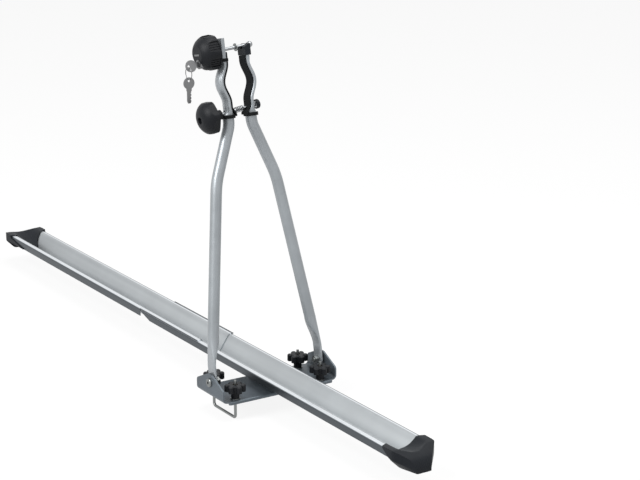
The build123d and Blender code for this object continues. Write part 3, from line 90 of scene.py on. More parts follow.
def new_group(name, inputs, outputs):
    """Empty node group: inputs is {name: default}, outputs is {name: kind of socket}."""
    group = bpy.data.node_groups.new(name, "ShaderNodeTree")
    for label, default in inputs.items():
        kind = "NodeSocketVector" if isinstance(default, tuple) else "NodeSocketFloat"
        socket = group.interface.new_socket(label, in_out="INPUT", socket_type=kind)
        socket.default_value = default
    for label, kind in outputs.items():
        group.interface.new_socket(label, in_out="OUTPUT", socket_type=kind)
    start = group.nodes.new("NodeGroupInput")
    end = group.nodes.new("NodeGroupOutput")
    return group, start, end


def join(tree, source, target):
    """Link from one socket to another."""
    tree.links.new(source, target)


def math_node(tree, operation, first, second=None, third=None):
    """Math node whose inputs are sockets or numbers; gives its output socket."""
    node = tree.nodes.new("ShaderNodeMath")
    node.operation = operation
    for place, value in enumerate((first, second, third)):
        if value is None:
            continue
        if isinstance(value, bpy.types.NodeSocket):
            join(tree, value, node.inputs[place])
        else:
            node.inputs[place].default_value = value
    return node.outputs[0]


def noise(tree, vector, scale, detail=2.0, roughness=0.5):
    """Noise texture on a vector socket; gives the factor socket."""
    node = tree.nodes.new("ShaderNodeTexNoise")
    for label, value in (("Scale", scale), ("Detail", detail), ("Roughness", roughness)):
        if isinstance(value, bpy.types.NodeSocket):
            join(tree, value, node.inputs[label])
        else:
            node.inputs[label].default_value = value
    join(tree, vector, node.inputs["Vector"])
    return node.outputs["Fac"]


def stretched(tree, vector, scale):
    """Mapping node that stretches a vector; scale is a socket or three numbers."""
    node = tree.nodes.new("ShaderNodeMapping")
    join(tree, vector, node.inputs["Vector"])
    if isinstance(scale, bpy.types.NodeSocket):
        join(tree, scale, node.inputs["Scale"])
    else:
        node.inputs["Scale"].default_value = scale
    return node.outputs["Vector"]


def span(tree, value, low, high, to_low=0.0, to_high=1.0):
    """Map Range node with clamped ends."""
    node = tree.nodes.new("ShaderNodeMapRange")
    join(tree, value, node.inputs["Value"])
    ends = {"From Min": low, "From Max": high, "To Min": to_low, "To Max": to_high}
    for label, number in ends.items():
        if isinstance(number, bpy.types.NodeSocket):
            join(tree, number, node.inputs[label])
        else:
            node.inputs[label].default_value = number
    return node.outputs["Result"]


# %% The shared effects
def streak_group():
    """Fine lines along one direction: noise squeezed across the line and drawn out along it."""
    group, start, end = new_group(
        "streaks",
        {"Vector": (0.0, 0.0, 0.0), "Stretch": (1.0, 1.0, 1.0), "Scale": STREAK_SCALE},
        {"Lines": "NodeSocketFloat", "Bands": "NodeSocketFloat"},
    )
    lined = stretched(group, start.outputs["Vector"], start.outputs["Stretch"])
    lines = noise(group, lined, start.outputs["Scale"], 4.0, 0.65)
    wide = math_node(group, "MULTIPLY", start.outputs["Scale"], 0.12)
    bands = noise(group, lined, wide, 2.0)
    join(group, lines, end.inputs["Lines"])
    join(group, bands, end.inputs["Bands"])
    return group


def grain_group():
    """Moulded or sprayed grain: fine noise for height, and a slow smudge for gloss."""
    group, start, end = new_group(
        "grain",
        {"Vector": (0.0, 0.0, 0.0), "Scale": GRAIN_SCALE},
        {"Grain": "NodeSocketFloat", "Flakes": "NodeSocketFloat", "Smudge": "NodeSocketFloat"},
    )
    grain = noise(group, start.outputs["Vector"], start.outputs["Scale"], 3.0, 0.6)
    cells = group.nodes.new("ShaderNodeTexVoronoi")
    join(group, start.outputs["Vector"], cells.inputs["Vector"])
    fine = math_node(group, "MULTIPLY", start.outputs["Scale"], 1.8)
    join(group, fine, cells.inputs["Scale"])
    flakes = span(group, cells.outputs["Distance"], 0.0, 0.45, 1.0, 0.0)
    smudge = noise(group, start.outputs["Vector"], SMUDGE_SCALE, 4.0, 0.6)
    join(group, grain, end.inputs["Grain"])
    join(group, flakes, end.inputs["Flakes"])
    join(group, smudge, end.inputs["Smudge"])
    return group


def edge_group():
    """Worn edges: where a rounded normal leaves the true one, the surface turns a corner."""
    group, start, end = new_group(
        "edges",
        {"Vector": (0.0, 0.0, 0.0), "Start": 0.02, "End": 0.2},
        {"Worn": "NodeSocketFloat"},
    )
    soft = group.nodes.new("ShaderNodeBevel")
    soft.samples = CORNER_SAMPLES
    soft.inputs["Radius"].default_value = CORNER_REACH
    true = group.nodes.new("ShaderNodeNewGeometry")
    dot = group.nodes.new("ShaderNodeVectorMath")
    dot.operation = "DOT_PRODUCT"
    join(group, soft.outputs["Normal"], dot.inputs[0])
    join(group, true.outputs["True Normal"], dot.inputs[1])
    turned = math_node(group, "SUBTRACT", 1.0, dot.outputs["Value"])
    edge = span(group, turned, start.outputs["Start"], start.outputs["End"])
    patchy = noise(group, start.outputs["Vector"], WORN_SCALE, 4.0, 0.7)
    patch = span(group, patchy, 0.35, 0.7)
    worn = math_node(group, "MULTIPLY", edge, patch)
    join(group, worn, end.inputs["Worn"])
    return group


GROUPS = {"streaks": streak_group(), "grain": grain_group(), "edges": edge_group()}
print("shared effects:", ", ".join(GROUPS))

# %% [markdown]
# ## One recipe for every finish
#
# Real finishes differ in colour, gloss, streaks and grain, but they are put together in the same
# order: a base colour that varies a little, bright worn edges, a gloss that smudges break up, and
# a fine bump. So one function builds them all, and a table holds what each finish is.


# %% Effects and colours placed in a material
def grouped(tree, name, **values):
    """One of the shared effects placed in a material, with its own values."""
    node = tree.nodes.new("ShaderNodeGroup")
    node.node_tree = GROUPS[name]
    for label, value in values.items():
        if isinstance(value, bpy.types.NodeSocket):
            join(tree, value, node.inputs[label])
        else:
            node.inputs[label].default_value = value
    return node


def blended(tree, factor, first, second):
    """Mix of two colours; factor is a socket, the colours are sockets or three numbers."""
    node = tree.nodes.new("ShaderNodeMix")
    node.data_type = "RGBA"
    join(tree, factor, node.inputs["Factor"])
    for label, value in (("A", first), ("B", second)):
        socket = [s for s in node.inputs if s.name == label and s.type == "RGBA"][0]
        if isinstance(value, bpy.types.NodeSocket):
            join(tree, value, socket)
        else:
            socket.default_value = (*value, 1.0)
    return [s for s in node.outputs if s.type == "RGBA"][0]


# %% Places across the channel, in metres, for painted light: a painted highlight, a painted shadow line and painted shade
BEAD_EDGE = 0.0305
BEAD_PAINTED_HIGHLIGHT = (0.72, 0.75, 0.78)
SHADOW_LINE_PLACE = 0.0290
SHADOW_LINE_HALF = 0.0005
NEAR_SHADE_EDGE = 0.0378
FAR_SHADE_EDGE = 0.0336
ZONE_BLUR = 0.001


def channel_painted_light(tree, place, colour, side_shade):
    """Painted light across the channel: a painted highlight on the rolled edges, a painted shadow line
    beside the near one, and painted shade on both sides.
    """
    parts = tree.nodes.new("ShaderNodeSeparateXYZ")
    join(tree, place, parts.inputs["Vector"])
    across = parts.outputs["Y"]
    away = math_node(tree, "ABSOLUTE", across)
    # Painted highlight on both rolled edges.
    bead_highlight = span(tree, away, BEAD_EDGE, BEAD_EDGE + ZONE_BLUR)
    colour = blended(tree, bead_highlight, colour, BEAD_PAINTED_HIGHLIGHT)
    # Painted shadow line beside the near rolled edge, then painted shade on both sides, which on the
    # far side reaches over the rolled edge.
    shadow_line = math_node(tree, "COMPARE", across, -SHADOW_LINE_PLACE, SHADOW_LINE_HALF)
    near_side = span(tree, across, -NEAR_SHADE_EDGE, ZONE_BLUR - NEAR_SHADE_EDGE, 1.0, 0.0)
    far_side = span(tree, across, FAR_SHADE_EDGE, FAR_SHADE_EDGE + ZONE_BLUR)
    shaded = math_node(tree, "MAXIMUM", near_side, shadow_line)
    shaded = math_node(tree, "MAXIMUM", far_side, shaded)
    return blended(tree, shaded, colour, side_shade)


# %% The recipe itself
FLAKE_SHINE = 1.7
SMUDGE_RANGE = (0.3, 0.7)


def finish(name, dark, light, gloss, metal=0.0, stretch=(1, 1, 1), lines=0.0, grain=0.0, flakes=0.0,
           worn=(0.5, 0.5, 0.5), wear=0.0, coat=0.0, coat_gloss=0.15, scale=GRAIN_SCALE, bump=0.00002,
           specular=0.5, side_shade=None):
    """Material of one finish.

    Colour runs from dark to light with smudges, lines and flakes; gloss is its lowest and highest
    roughness; bump is the height of the grain and lines in metres; side_shade is the colour of
    painted shade on a channel's sides, and brings a painted highlight and a painted shadow line.
    """
    material = bpy.data.materials.new(name)
    material.use_nodes = True
    tree = material.node_tree
    tree.nodes.clear()
    out = tree.nodes.new("ShaderNodeOutputMaterial")
    shader = tree.nodes.new("ShaderNodeBsdfPrincipled")
    join(tree, shader.outputs["BSDF"], out.inputs["Surface"])
    place = tree.nodes.new("ShaderNodeTexCoord").outputs["Object"]
    fine = grouped(tree, "grain", Vector=place, Scale=scale)
    drawn = grouped(tree, "streaks", Vector=place, Stretch=stretch)
    mix = math_node(tree, "MULTIPLY", drawn.outputs["Bands"], lines)
    mix = math_node(tree, "MULTIPLY_ADD", fine.outputs["Smudge"], 1.0 - lines, mix)
    tone = span(tree, mix, *SMUDGE_RANGE)
    colour = blended(tree, tone, dark, light)
    if flakes:
        spark = math_node(tree, "MULTIPLY", fine.outputs["Flakes"], flakes)
        colour = blended(tree, spark, colour, tuple(min(1.0, c * FLAKE_SHINE) for c in light))
    # Painted light on a channel: painted shade on its sides, a painted highlight on its rolled edges
    # and a painted shadow line.
    if side_shade:
        colour = channel_painted_light(tree, place, colour, side_shade)
    if wear:
        edge = grouped(tree, "edges", Vector=place)
        amount = math_node(tree, "MULTIPLY", edge.outputs["Worn"], wear)
        colour = blended(tree, amount, colour, worn)
    join(tree, colour, shader.inputs["Base Color"])
    rough = math_node(tree, "MULTIPLY_ADD", drawn.outputs["Lines"], lines * 0.5, fine.outputs["Smudge"])
    low, high = SMUDGE_RANGE
    gloss_value = span(tree, rough, low, high + lines * 0.4, gloss[0], gloss[1])
    join(tree, gloss_value, shader.inputs["Roughness"])
    shader.inputs["Metallic"].default_value = metal
    shader.inputs["Specular IOR Level"].default_value = specular
    shader.inputs["Coat Weight"].default_value = coat
    shader.inputs["Coat Roughness"].default_value = coat_gloss
    height = math_node(tree, "MULTIPLY", fine.outputs["Grain"], grain)
    height = math_node(tree, "MULTIPLY_ADD", drawn.outputs["Lines"], lines, height)
    dent = tree.nodes.new("ShaderNodeBump")
    dent.inputs["Distance"].default_value = bump
    dent.inputs["Strength"].default_value = 1.0
    join(tree, height, dent.inputs["Height"])
    join(tree, dent.outputs["Normal"], shader.inputs["Normal"])
    return material


# %% [markdown]
# ## The finishes of this carrier
#
# The channel is drawn aluminium with a satin skin, so its lines run along it. The arms and the
# bracket are sprayed with metallic paint, which shows as flakes under a thin clear layer. Caps
# and knobs are moulded black plastic with a fine grain, the jaws are rubber, and the screws are
# plated. Each row of the table is one finish, because their lines run in different directions.

# %% Table of finishes
ALONG_X = (0.02, 1.0, 1.0)
ALONG_Z = (1.0, 1.0, 0.03)
ROUND = (1.0, 1.0, 1.0)
FINISHES = {
    # The channel's aluminium carries painted shade on its sides, a painted highlight on its rolled
    # edges and a painted shadow line.
    "anodised": finish("satin_aluminium", (0.36, 0.38, 0.395), (0.57, 0.60, 0.615), (0.30, 0.42), 1.0,
                       ALONG_X, lines=0.8, grain=0.2, side_shade=(0.085, 0.095, 0.105)),
    "arm_paint": finish("silver_paint", (0.22, 0.238, 0.252), (0.30, 0.322, 0.340), (0.34, 0.46), 0.55,
                        ALONG_Z, lines=0.1, grain=0.2, flakes=0.03, worn=(0.5, 0.5, 0.5), wear=0.1,
                        coat=0.35),
    "bracket_paint": finish("dark_paint", (0.070, 0.083, 0.096), (0.115, 0.136, 0.156),
                            (0.38, 0.55), 0.7, ROUND, grain=1.0, flakes=0.35,
                            worn=(0.4, 0.4, 0.4), wear=0.4, coat=0.1,
                            scale=700.0, bump=0.00006),
    "black_plastic": finish("moulded_black", (0.005, 0.0062, 0.0085), (0.009, 0.011, 0.014),
                            (0.40, 0.55), grain=1.0, worn=(0.05, 0.05, 0.055), wear=0.35,
                            bump=0.00004, scale=1100.0,
                            specular=0.15),
    "knob_plastic": finish("moulded_knob", (0.005, 0.0057, 0.0072), (0.009, 0.010, 0.012), (0.36, 0.50),
                           grain=1.0, worn=(0.06, 0.06, 0.065), wear=0.4, bump=0.00003, scale=1300.0,
                           specular=0.14),
    "pad_rubber": finish("black_rubber", (0.004, 0.0045, 0.005), (0.009, 0.010, 0.011), (0.62, 0.80),
                         grain=1.0, worn=(0.04, 0.04, 0.04), wear=0.5, bump=0.00005, specular=0.1),
    "zinc": finish("zinc_plate", (0.17, 0.18, 0.18), (0.27, 0.28, 0.275), (0.24, 0.38), 1.0,
                   ROUND, lines=0.2, grain=0.5, worn=(0.4, 0.4, 0.4), wear=0.3),
    "bright_steel": finish("polished_steel", (0.22, 0.23, 0.24), (0.34, 0.35, 0.36), (0.14, 0.26), 1.0,
                           ROUND, lines=0.3, grain=0.2, worn=(0.5, 0.5, 0.5), wear=0.2),
    "dark_steel": finish("dark_steel", (0.02, 0.02, 0.022), (0.05, 0.05, 0.053), (0.30, 0.45), 1.0,
                         ROUND, lines=0.3, grain=0.5, worn=(0.25, 0.25, 0.25), wear=0.5),
    "brass": finish("brass", (0.50, 0.36, 0.15), (0.62, 0.46, 0.21), (0.22, 0.36), 1.0,
                    ROUND, lines=0.3, grain=0.3, worn=(0.8, 0.65, 0.4), wear=0.4),
    "key_steel": finish("key_nickel", (0.15, 0.152, 0.155), (0.24, 0.242, 0.245), (0.24, 0.38), 1.0,
                        ROUND, lines=0.3, grain=0.4, worn=(0.4, 0.4, 0.4), wear=0.3),
}

# %% Give every node its finish
for entry in frame["record"]["subparts"]:
    piece = nodes[entry["node"]]
    wears = FINISHES[entry["material_slot"]]
    piece.data.materials.clear()
    piece.data.materials.append(wears)
    print(piece.name, "wears", wears.name)

# %% [markdown]
# ## Surfaces from arrays
#
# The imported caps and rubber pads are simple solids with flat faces. The real ones are moulded:
# their corners are soft and the rubber has ribs. A sculpted mesh could show that, but a surface
# worked out from a few sizes keeps to the places that the CAD gives it. Each one below is a grid
# of points made in one go with numpy, and two helpers turn grids into closed meshes.

# %% Closed meshes from grids
MM = 0.001
CORNER_ANGLE = math.radians(50)
BEVEL_STEPS = 3


def grid_faces(index):
    """Quads between neighbouring rows and columns of a grid of point numbers."""
    corners = [index[:-1, :-1], index[:-1, 1:], index[1:, 1:], index[1:, :-1]]
    return np.stack(corners, axis=-1).reshape(-1, 4)


def two_sheets(outer, inner):
    """Closed wall between two grids of points: both sheets, and a strip round their common rim."""
    rows, columns, _ = outer.shape
    first = np.arange(rows * columns).reshape(rows, columns)
    second = first + rows * columns
    rim = np.concatenate([first[0, :-1], first[:-1, -1], first[-1, :0:-1], first[:0:-1, 0]])
    other = rim + rows * columns
    strip = np.stack([rim, np.roll(rim, -1), np.roll(other, -1), other], axis=-1)
    faces = np.concatenate([grid_faces(first)[:, ::-1], grid_faces(second), strip])
    return np.concatenate([outer.reshape(-1, 3), inner.reshape(-1, 3)]), faces


def tube_of_rings(rings, joined=False):
    """Closed skin over rings (stations, around, 3): quads between rings, and flat ends or none."""
    stations, around, _ = rings.shape
    index = np.arange(stations * around).reshape(stations, around)
    index = np.concatenate([index, index[:, :1]], axis=1)
    if joined:
        index = np.concatenate([index, index[:1]], axis=0)
        return rings.reshape(-1, 3), grid_faces(index)
    points = np.concatenate([rings.reshape(-1, 3), rings[[0, -1]].mean(axis=1)])
    faces = [grid_faces(index)]
    for row, centre, turn in ((index[0], len(points) - 2, 1), (index[-1], len(points) - 1, -1)):
        middle = np.full(around, centre)
        fan = np.stack([row[1:], row[:-1], middle, middle], axis=-1)
        faces.append(fan if turn > 0 else fan[:, [1, 0, 2, 3]])
    return points, np.concatenate(faces)


def signed_volume(points, faces):
    """Six times the volume inside quads, from the triple product of each half quad's corners."""
    a, b, c, d = (points[faces[:, place]] for place in range(4))
    return float((np.cross(a, b) * c).sum() + (np.cross(a, c) * d).sum())


def moulded(name, shells, body, stands_for, slot, soft_edge):
    """Piece made of closed shells, with its faces turned outwards, softened edges and its finish."""
    points, faces, start = [], [], 0
    for shell_points, shell_faces in shells:
        if signed_volume(shell_points, shell_faces) < 0:
            shell_faces = shell_faces[:, ::-1]
        points.append(shell_points)
        faces += [list(dict.fromkeys(face)) for face in (shell_faces + start).tolist()]
        start += len(shell_points)
    mesh = bpy.data.meshes.new(name)
    mesh.from_pydata(np.concatenate(points).tolist(), [], faces)
    mesh.polygons.foreach_set("use_smooth", np.ones(len(mesh.polygons), dtype=bool))
    mesh.set_sharp_from_angle(angle=CORNER_ANGLE)
    piece = bpy.data.objects.new(name, mesh)
    bpy.context.scene.collection.objects.link(piece)
    if soft_edge:
        bevel = piece.modifiers.new("soft_edges", "BEVEL")
        bevel.width = soft_edge
        bevel.segments = BEVEL_STEPS
        bevel.limit_method = "ANGLE"
        bevel.angle_limit = CORNER_ANGLE
        bevel.harden_normals = True
    mesh.materials.append(FINISHES[slot])
    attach(piece, body)
    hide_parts(stands_for)
    print(name, len(mesh.vertices), "points,", len(mesh.polygons), "faces")
    return piece


# %% [markdown]
# ## End caps
#
# A cap is moulded like the bow of a boat. Its collar clips over the rolled edges, a thin tongue
# lies in the channel, and the floor of the channel rises from the tongue to the bow in one smooth
# sheet. The upper side is a height field: the channel's own section, drawn narrower and filled up
# as it goes forward, and a soft minimum rounds it into the sloping deck. All lengths are in mm.

# %% The channel that the caps fit
RAIL_LOW = 7.0
CHANNEL_WALL = 1.5
HALF_CHANNEL = 38.5
RAIL_TOP = 37.5
FLOOR_HALF = 10.0
BEAD_INNER = 29.5
TROUGH_ROUND = 3.0

# %% The cap's sizes
CAP_WALL = 2.4
CAP_PROUD = 2.2
COLLAR = 22.0
COLLAR_INNER = 28.0
SHOULDER = 5.0
NOSE = 34.0
NOSE_HALF = 14.0
SOLE_HALF = 22.0
NOSE_FALL = 15.0
NOSE_DROP = 11.0
RIB_HEIGHT = 0.4
RIB_PITCH = 3.5
SIDE_DEPTH = 14.5
TONGUE_THICK = 1.8
FIT = 0.15
BOW_BACK = -2.0
SCOOP_END = 18.0
SCOOP_NARROWING = 0.38
SCOOP_FILL = 0.85
SCOOP_RISE = 0.9
SCOOP_OVER = 1.0
DECK_ROUND = 3.6
BOW_ROUND = 3.0
LOW_EDGE_SHARE = 0.3
TONGUE_HEIGHTS = [8.5, 14.4, 20.0, 26.4, 33.0, 37.5]
TONGUE_ENDS = [-55.0, -46.5, -38.0, -32.0, -29.0, -28.0]
SIDE_BACK = -86.0
SIDE_SLANT = 62.0
CAP_ROWS = 70
CAP_COLUMNS = 161
TONGUE_ROWS = 40
RIM_SMOOTHING = 5


# %% Heights of the cap
def soft_max(first, second, round_size):
    """Larger of two heights, with a rounded change from one to the other."""
    return (first + second + np.sqrt((first - second) ** 2 + round_size ** 2)) / 2


def soft_min(first, second, round_size):
    """Smaller of two heights, with a rounded change from one to the other."""
    return -soft_max(-first, -second, round_size)


def bow_share(x):
    """0 behind the cap's shoulder and 1 at its nose, straight between with a soft start."""
    return soft_max(x - SHOULDER, 0.0, BOW_ROUND) / soft_max(NOSE - SHOULDER, 0.0, BOW_ROUND)


def deck_fall(t):
    """How far the deck lies under the crown: a plain slope that bends down steeply at the nose."""
    return NOSE_FALL * t + NOSE_DROP * t ** 6


def trough_height(y, above_sheet):
    """Height of the channel's trough, raised square to the sheet: a flat floor and two slopes."""
    slope = (BEAD_INNER - FLOOR_HALF) / (RAIL_TOP - CHANNEL_WALL - RAIL_LOW)
    floor = RAIL_LOW + above_sheet
    side = RAIL_LOW + (np.abs(y) + above_sheet * math.hypot(1.0, slope) - FLOOR_HALF) / slope
    return soft_max(side, floor, TROUGH_ROUND)


def tongue_edge(height, lift):
    """Place of the tongue's back edge at a height on the trough: an arc, furthest at the floor."""
    return np.interp(height - lift, TONGUE_HEIGHTS, TONGUE_ENDS)


def deck_height(x, y, lift):
    """Upper side of the cap: the trough fills up from the tongue's edge, then slopes to the nose."""
    crown = RAIL_TOP + CAP_PROUD + lift
    above = CHANNEL_WALL + lift + FIT + TONGUE_THICK
    ahead = np.clip(soft_max(x, 0.0, BOW_ROUND) / SCOOP_END, 0.0, 1.0)
    narrow = 1.0 - SCOOP_NARROWING * ahead
    trough = trough_height(y / narrow, above)
    edge = tongue_edge(trough, lift)
    forward = np.clip((x - edge) / (SCOOP_END - edge), 0.0, 1.0) ** SCOOP_RISE
    full = crown + SCOOP_OVER
    scoop = full - (full - trough) * (1.0 - SCOOP_FILL * forward)
    t = bow_share(x)
    ribs = RIB_HEIGHT * np.sin(2.0 * np.pi * y / RIB_PITCH) * np.clip(t, 0.0, 1.0) ** 5
    return soft_min(scoop, crown - deck_fall(t), DECK_ROUND) + ribs


def softened(values, reach):
    """Moving average along the last axis with its ends held, which rounds the corners of a line."""
    first, last = np.repeat(values[:, :1], reach, 1), np.repeat(values[:, -1:], reach, 1)
    padded = np.concatenate([first, values, last], 1)
    total = np.cumsum(np.pad(padded, ((0, 0), (1, 0))), axis=1)
    smooth = (total[:, 2 * reach + 1 :] - total[:, : -2 * reach - 1]) / (2 * reach + 1)
    smooth[:, 0], smooth[:, -1] = values[:, 0], values[:, -1]
    return smooth


# %% Sheets of the cap
def cap_hull(lift):
    """Outer side: at each station a line down one side, in to the sole, across and up again."""
    u = np.linspace(0.0, 1.0, CAP_ROWS)[:, None]
    v = np.linspace(0.0, 1.0, CAP_COLUMNS)[None, :]
    crown = RAIL_TOP + CAP_PROUD + lift
    side_low = RAIL_TOP - SIDE_DEPTH
    bottom = RAIL_LOW - CAP_WALL
    marks = [0.0, 0.05, 0.2, 0.4, 0.6, 0.8, 0.95, 1.0]
    backs = [-COLLAR, -COLLAR, BOW_BACK, 0.0, 0.0, BOW_BACK, -COLLAR, -COLLAR]
    back_x = np.interp(v, marks, backs)
    x = back_x + (NOSE - back_x) * u
    t = bow_share(x)
    half = HALF_CHANNEL + CAP_WALL + (NOSE_HALF - HALF_CHANNEL - CAP_WALL) * t
    sole = SOLE_HALF + (NOSE_HALF - SOLE_HALF) * t
    top = crown - deck_fall(t)
    low = side_low + (bottom + (side_low - bottom) * LOW_EDGE_SHARE - side_low) * t
    across = np.abs(v - 0.5) * 2.0
    share_side = np.clip((1.0 - across) / 0.4, 0.0, 1.0)
    share_slope = np.clip((0.6 - across) / 0.4, 0.0, 1.0)
    share_sole = np.clip((0.2 - across) / 0.2, 0.0, 1.0)
    y = half + (sole - half) * share_slope - sole * share_sole
    z = top + (low - top) * share_side + (bottom - low) * share_slope
    y = softened(y * np.sign(v - 0.5 + 1e-9), RIM_SMOOTHING)
    z = softened(z, RIM_SMOOTHING)
    return np.stack([x, y, z], axis=-1)


def cap_deck(lift):
    """Inner side over the same rim: a height field between the hull's two upper edges."""
    u = np.linspace(0.0, 1.0, CAP_ROWS)[:, None]
    v = np.linspace(0.0, 1.0, CAP_COLUMNS)[None, :]
    away = np.abs(v - 0.5) * 2.0
    backs = [BOW_BACK, BOW_BACK, -COLLAR_INNER, -COLLAR]
    back_x = np.interp(away, [0.0, 0.66, 0.72, 1.0], backs)
    x = back_x + (NOSE - back_x) * u
    half = HALF_CHANNEL + CAP_WALL + (NOSE_HALF - HALF_CHANNEL - CAP_WALL) * bow_share(x)
    y = (v - 0.5) * 2.0 * half
    return np.stack([x, y, deck_height(x, y, lift)], axis=-1)


def cap_tongue(lift):
    """Sheet in the trough, thin along its arched back edge and thicker towards the bow."""
    u = np.linspace(0.0, 1.0, TONGUE_ROWS)[:, None]
    y = np.linspace(-BEAD_INNER + 0.4, BEAD_INNER - 0.4, CAP_COLUMNS)[None, :]
    under = trough_height(y, CHANNEL_WALL + lift + FIT)
    over = trough_height(y, CHANNEL_WALL + lift + FIT + TONGUE_THICK)
    back = tongue_edge(over, lift)
    x = back + (-1.0 - back) * u
    ones = np.ones_like(u)
    filled = deck_height(x, y * ones, lift) - 0.05
    return (np.stack([x, y * ones, np.minimum(under * ones, filled - 0.4)], axis=-1),
            np.stack([x, y * ones, filled], axis=-1))


def side_shell(side, lift):
    """Flat shell over the skirt, with a slanted back edge: longer at its foot than at its top."""
    u = np.linspace(0.0, 1.0, 30)[:, None]
    v = np.linspace(0.0, 1.0, 12)[None, :]
    low = RAIL_TOP + lift - SIDE_DEPTH
    top = RAIL_TOP + lift - CAP_WALL
    back = SIDE_BACK + SIDE_SLANT * np.clip(v * 1.25, 0.0, 1.0)
    x = back + (1.0 - back) * u
    z = (low + (top - low) * v) * np.ones_like(u)
    flat = np.ones_like(x) * side
    return (np.stack([x, flat * (HALF_CHANNEL + CAP_WALL), z], axis=-1),
            np.stack([x, flat * (HALF_CHANNEL + FIT), z], axis=-1))


def end_cap(name, place, turn, lift, shells_at_sides, stands_for):
    """Whole cap: bow, tongue and side shells, turned to its end of the channel."""
    sheets = [(cap_hull(lift), cap_deck(lift)), cap_tongue(lift)]
    if shells_at_sides:
        sheets += [side_shell(side, lift) for side in (-1, 1)]
    shells = []
    for outer, inner in sheets:
        points, faces = two_sheets(outer, inner)
        points = points * (turn, turn, 1.0) + (place, 0.0, 0.0)
        shells.append((points * MM, faces))
    return moulded(name, shells, "base", stands_for, "black_plastic", 0.0006)


# %% Both caps
FRONT_PLACE = 433.0
REAR_PLACE = -1015.0
REAR_LIFT = 1.6
end_cap("bow_cap_front", FRONT_PLACE, 1.0, 0.0, False, "end_cap_front")
end_cap("bow_cap_rear", REAR_PLACE, -1.0, REAR_LIFT, True, "end_cap_rear")

# %% [markdown]
# ## Rubber on the jaws and on the roof bar
#
# The jaws are lined with ribbed rubber strips that follow their curve, held by bands. A strip is a
# rounded rectangle carried along the curve of the jaw; the ribs are a wave added to its face. The
# pad on the roof bar is a flat sheet with grooves underneath. All lengths are in mm again.

# %% The curve of a jaw
LEAN = math.radians(10.9)
PIVOT_HEIGHT = 30.0
TUBE_OUT = 22.6
TUBE_RADIUS = 10.0
TUBE_END = 447.0
JAW_START = 463.0
JAW_FACE = 19.4
RECESS_UP = 504.0
RECESS_REACH = 34.0
RECESS_DEPTH = 9.6
GRIP_THICK = 2.6
GRIP_WIDTH = 21.0
GRIP_START = 446.0
GRIP_ENDS = {"near": 556.0, "far": 546.7}
GRIP_STATIONS = 420
GRIP_TAPER = 2.0
GRIP_CORNER = 0.9
GRIP_AROUND = 48
JAW_RIB_HEIGHT = 0.35
JAW_RIB_PITCH = 3.2
JAW_RIB_HALF = 9.2
RIVET_HEIGHTS = (478.0, 532.0)
DIMPLE_RADIUS = 2.9
DIMPLE_DEPTH = 0.8
DIMPLE_EDGE = 0.7
SOFT_GAP = 0.3
TUBE_GAP = 0.2
BAND_HALF = 1.1
BAND_RADIUS = 10.7
BAND_AROUND = 24
LOW_BAND_UP = 446.0
TOP_BAND_UP = 542.8
TOP_BAND_HALF = 12.4
TOP_BAND_OPEN = 9.0
JAW_DEEP = 7.0


def smooth_step(share):
    """Rise from 0 to 1 with level ends: half of one minus the cosine."""
    return (1.0 - np.cos(np.pi * np.clip(share, 0.0, 1.0))) / 2.0


def jaw_face(up):
    """Distance of the jaw's inner face from the middle: tube, straight, and the recess."""
    tube = TUBE_OUT - TUBE_RADIUS - TUBE_GAP
    face = tube + (JAW_FACE - tube) * smooth_step((up - TUBE_END) / (JAW_START - TUBE_END))
    return face + RECESS_DEPTH * smooth_step(1.0 - np.abs(up - RECESS_UP) / RECESS_REACH)


def leaned(points, side):
    """Points drawn on an upright far arm (across, out, up), put on the leaning arm of a side."""
    across, out, up = points[..., 0], points[..., 1] * side, points[..., 2]
    x = across * math.cos(LEAN) - up * math.sin(LEAN)
    z = PIVOT_HEIGHT + up * math.cos(LEAN) + across * math.sin(LEAN)
    return np.stack([x, out, z], axis=-1) * MM


def rounded_box(half_wide, half_tall, corner, around):
    """Closed outline of a rounded rectangle: four corner arcs, walked by angle, moved apart."""
    angle = np.linspace(0.0, 2.0 * np.pi, around, endpoint=False) + np.pi / around
    return (np.sign(np.cos(angle)) * (half_wide - corner) + corner * np.cos(angle),
            np.sign(np.sin(angle)) * (half_tall - corner) + corner * np.sin(angle))


def grip_strip(top, side):
    """Rounded rectangle carried along the jaw's face, its free side waved into cross ribs."""
    up = np.linspace(GRIP_START, top, GRIP_STATIONS)[:, None]
    slope = jaw_face(up + 0.5) - jaw_face(up - 0.5)
    stretch = np.hypot(1.0, slope)
    across, depth = rounded_box(GRIP_WIDTH / 2, GRIP_THICK / 2, GRIP_CORNER, GRIP_AROUND)
    from_low, from_top = (up - GRIP_START) / GRIP_TAPER, (top - up) / GRIP_TAPER
    ends = np.minimum(smooth_step(from_low), smooth_step(from_top))
    wave = np.abs(np.sin(np.pi * (up - GRIP_START) / JAW_RIB_PITCH)) ** 6
    rib = JAW_RIB_HEIGHT * wave * (np.abs(across)[None, :] < JAW_RIB_HALF)
    dimple = np.zeros_like(up)
    for place in RIVET_HEIGHTS:
        near = np.hypot(up - place, across[None, :])
        dimple = dimple + DIMPLE_DEPTH * smooth_step((DIMPLE_RADIUS - near) / DIMPLE_EDGE)
    middle = jaw_face(up) - (SOFT_GAP + GRIP_THICK / 2) * stretch
    free = (depth < 0)[None, :]
    out = middle + (depth[None, :] + free * (rib + dimple) * ends) * stretch
    wide = across[None, :] * (0.94 + 0.06 * ends)
    rings = np.stack([wide, out, up * np.ones_like(out)], axis=-1)
    points, faces = tube_of_rings(rings)
    return leaned(points, side), faces


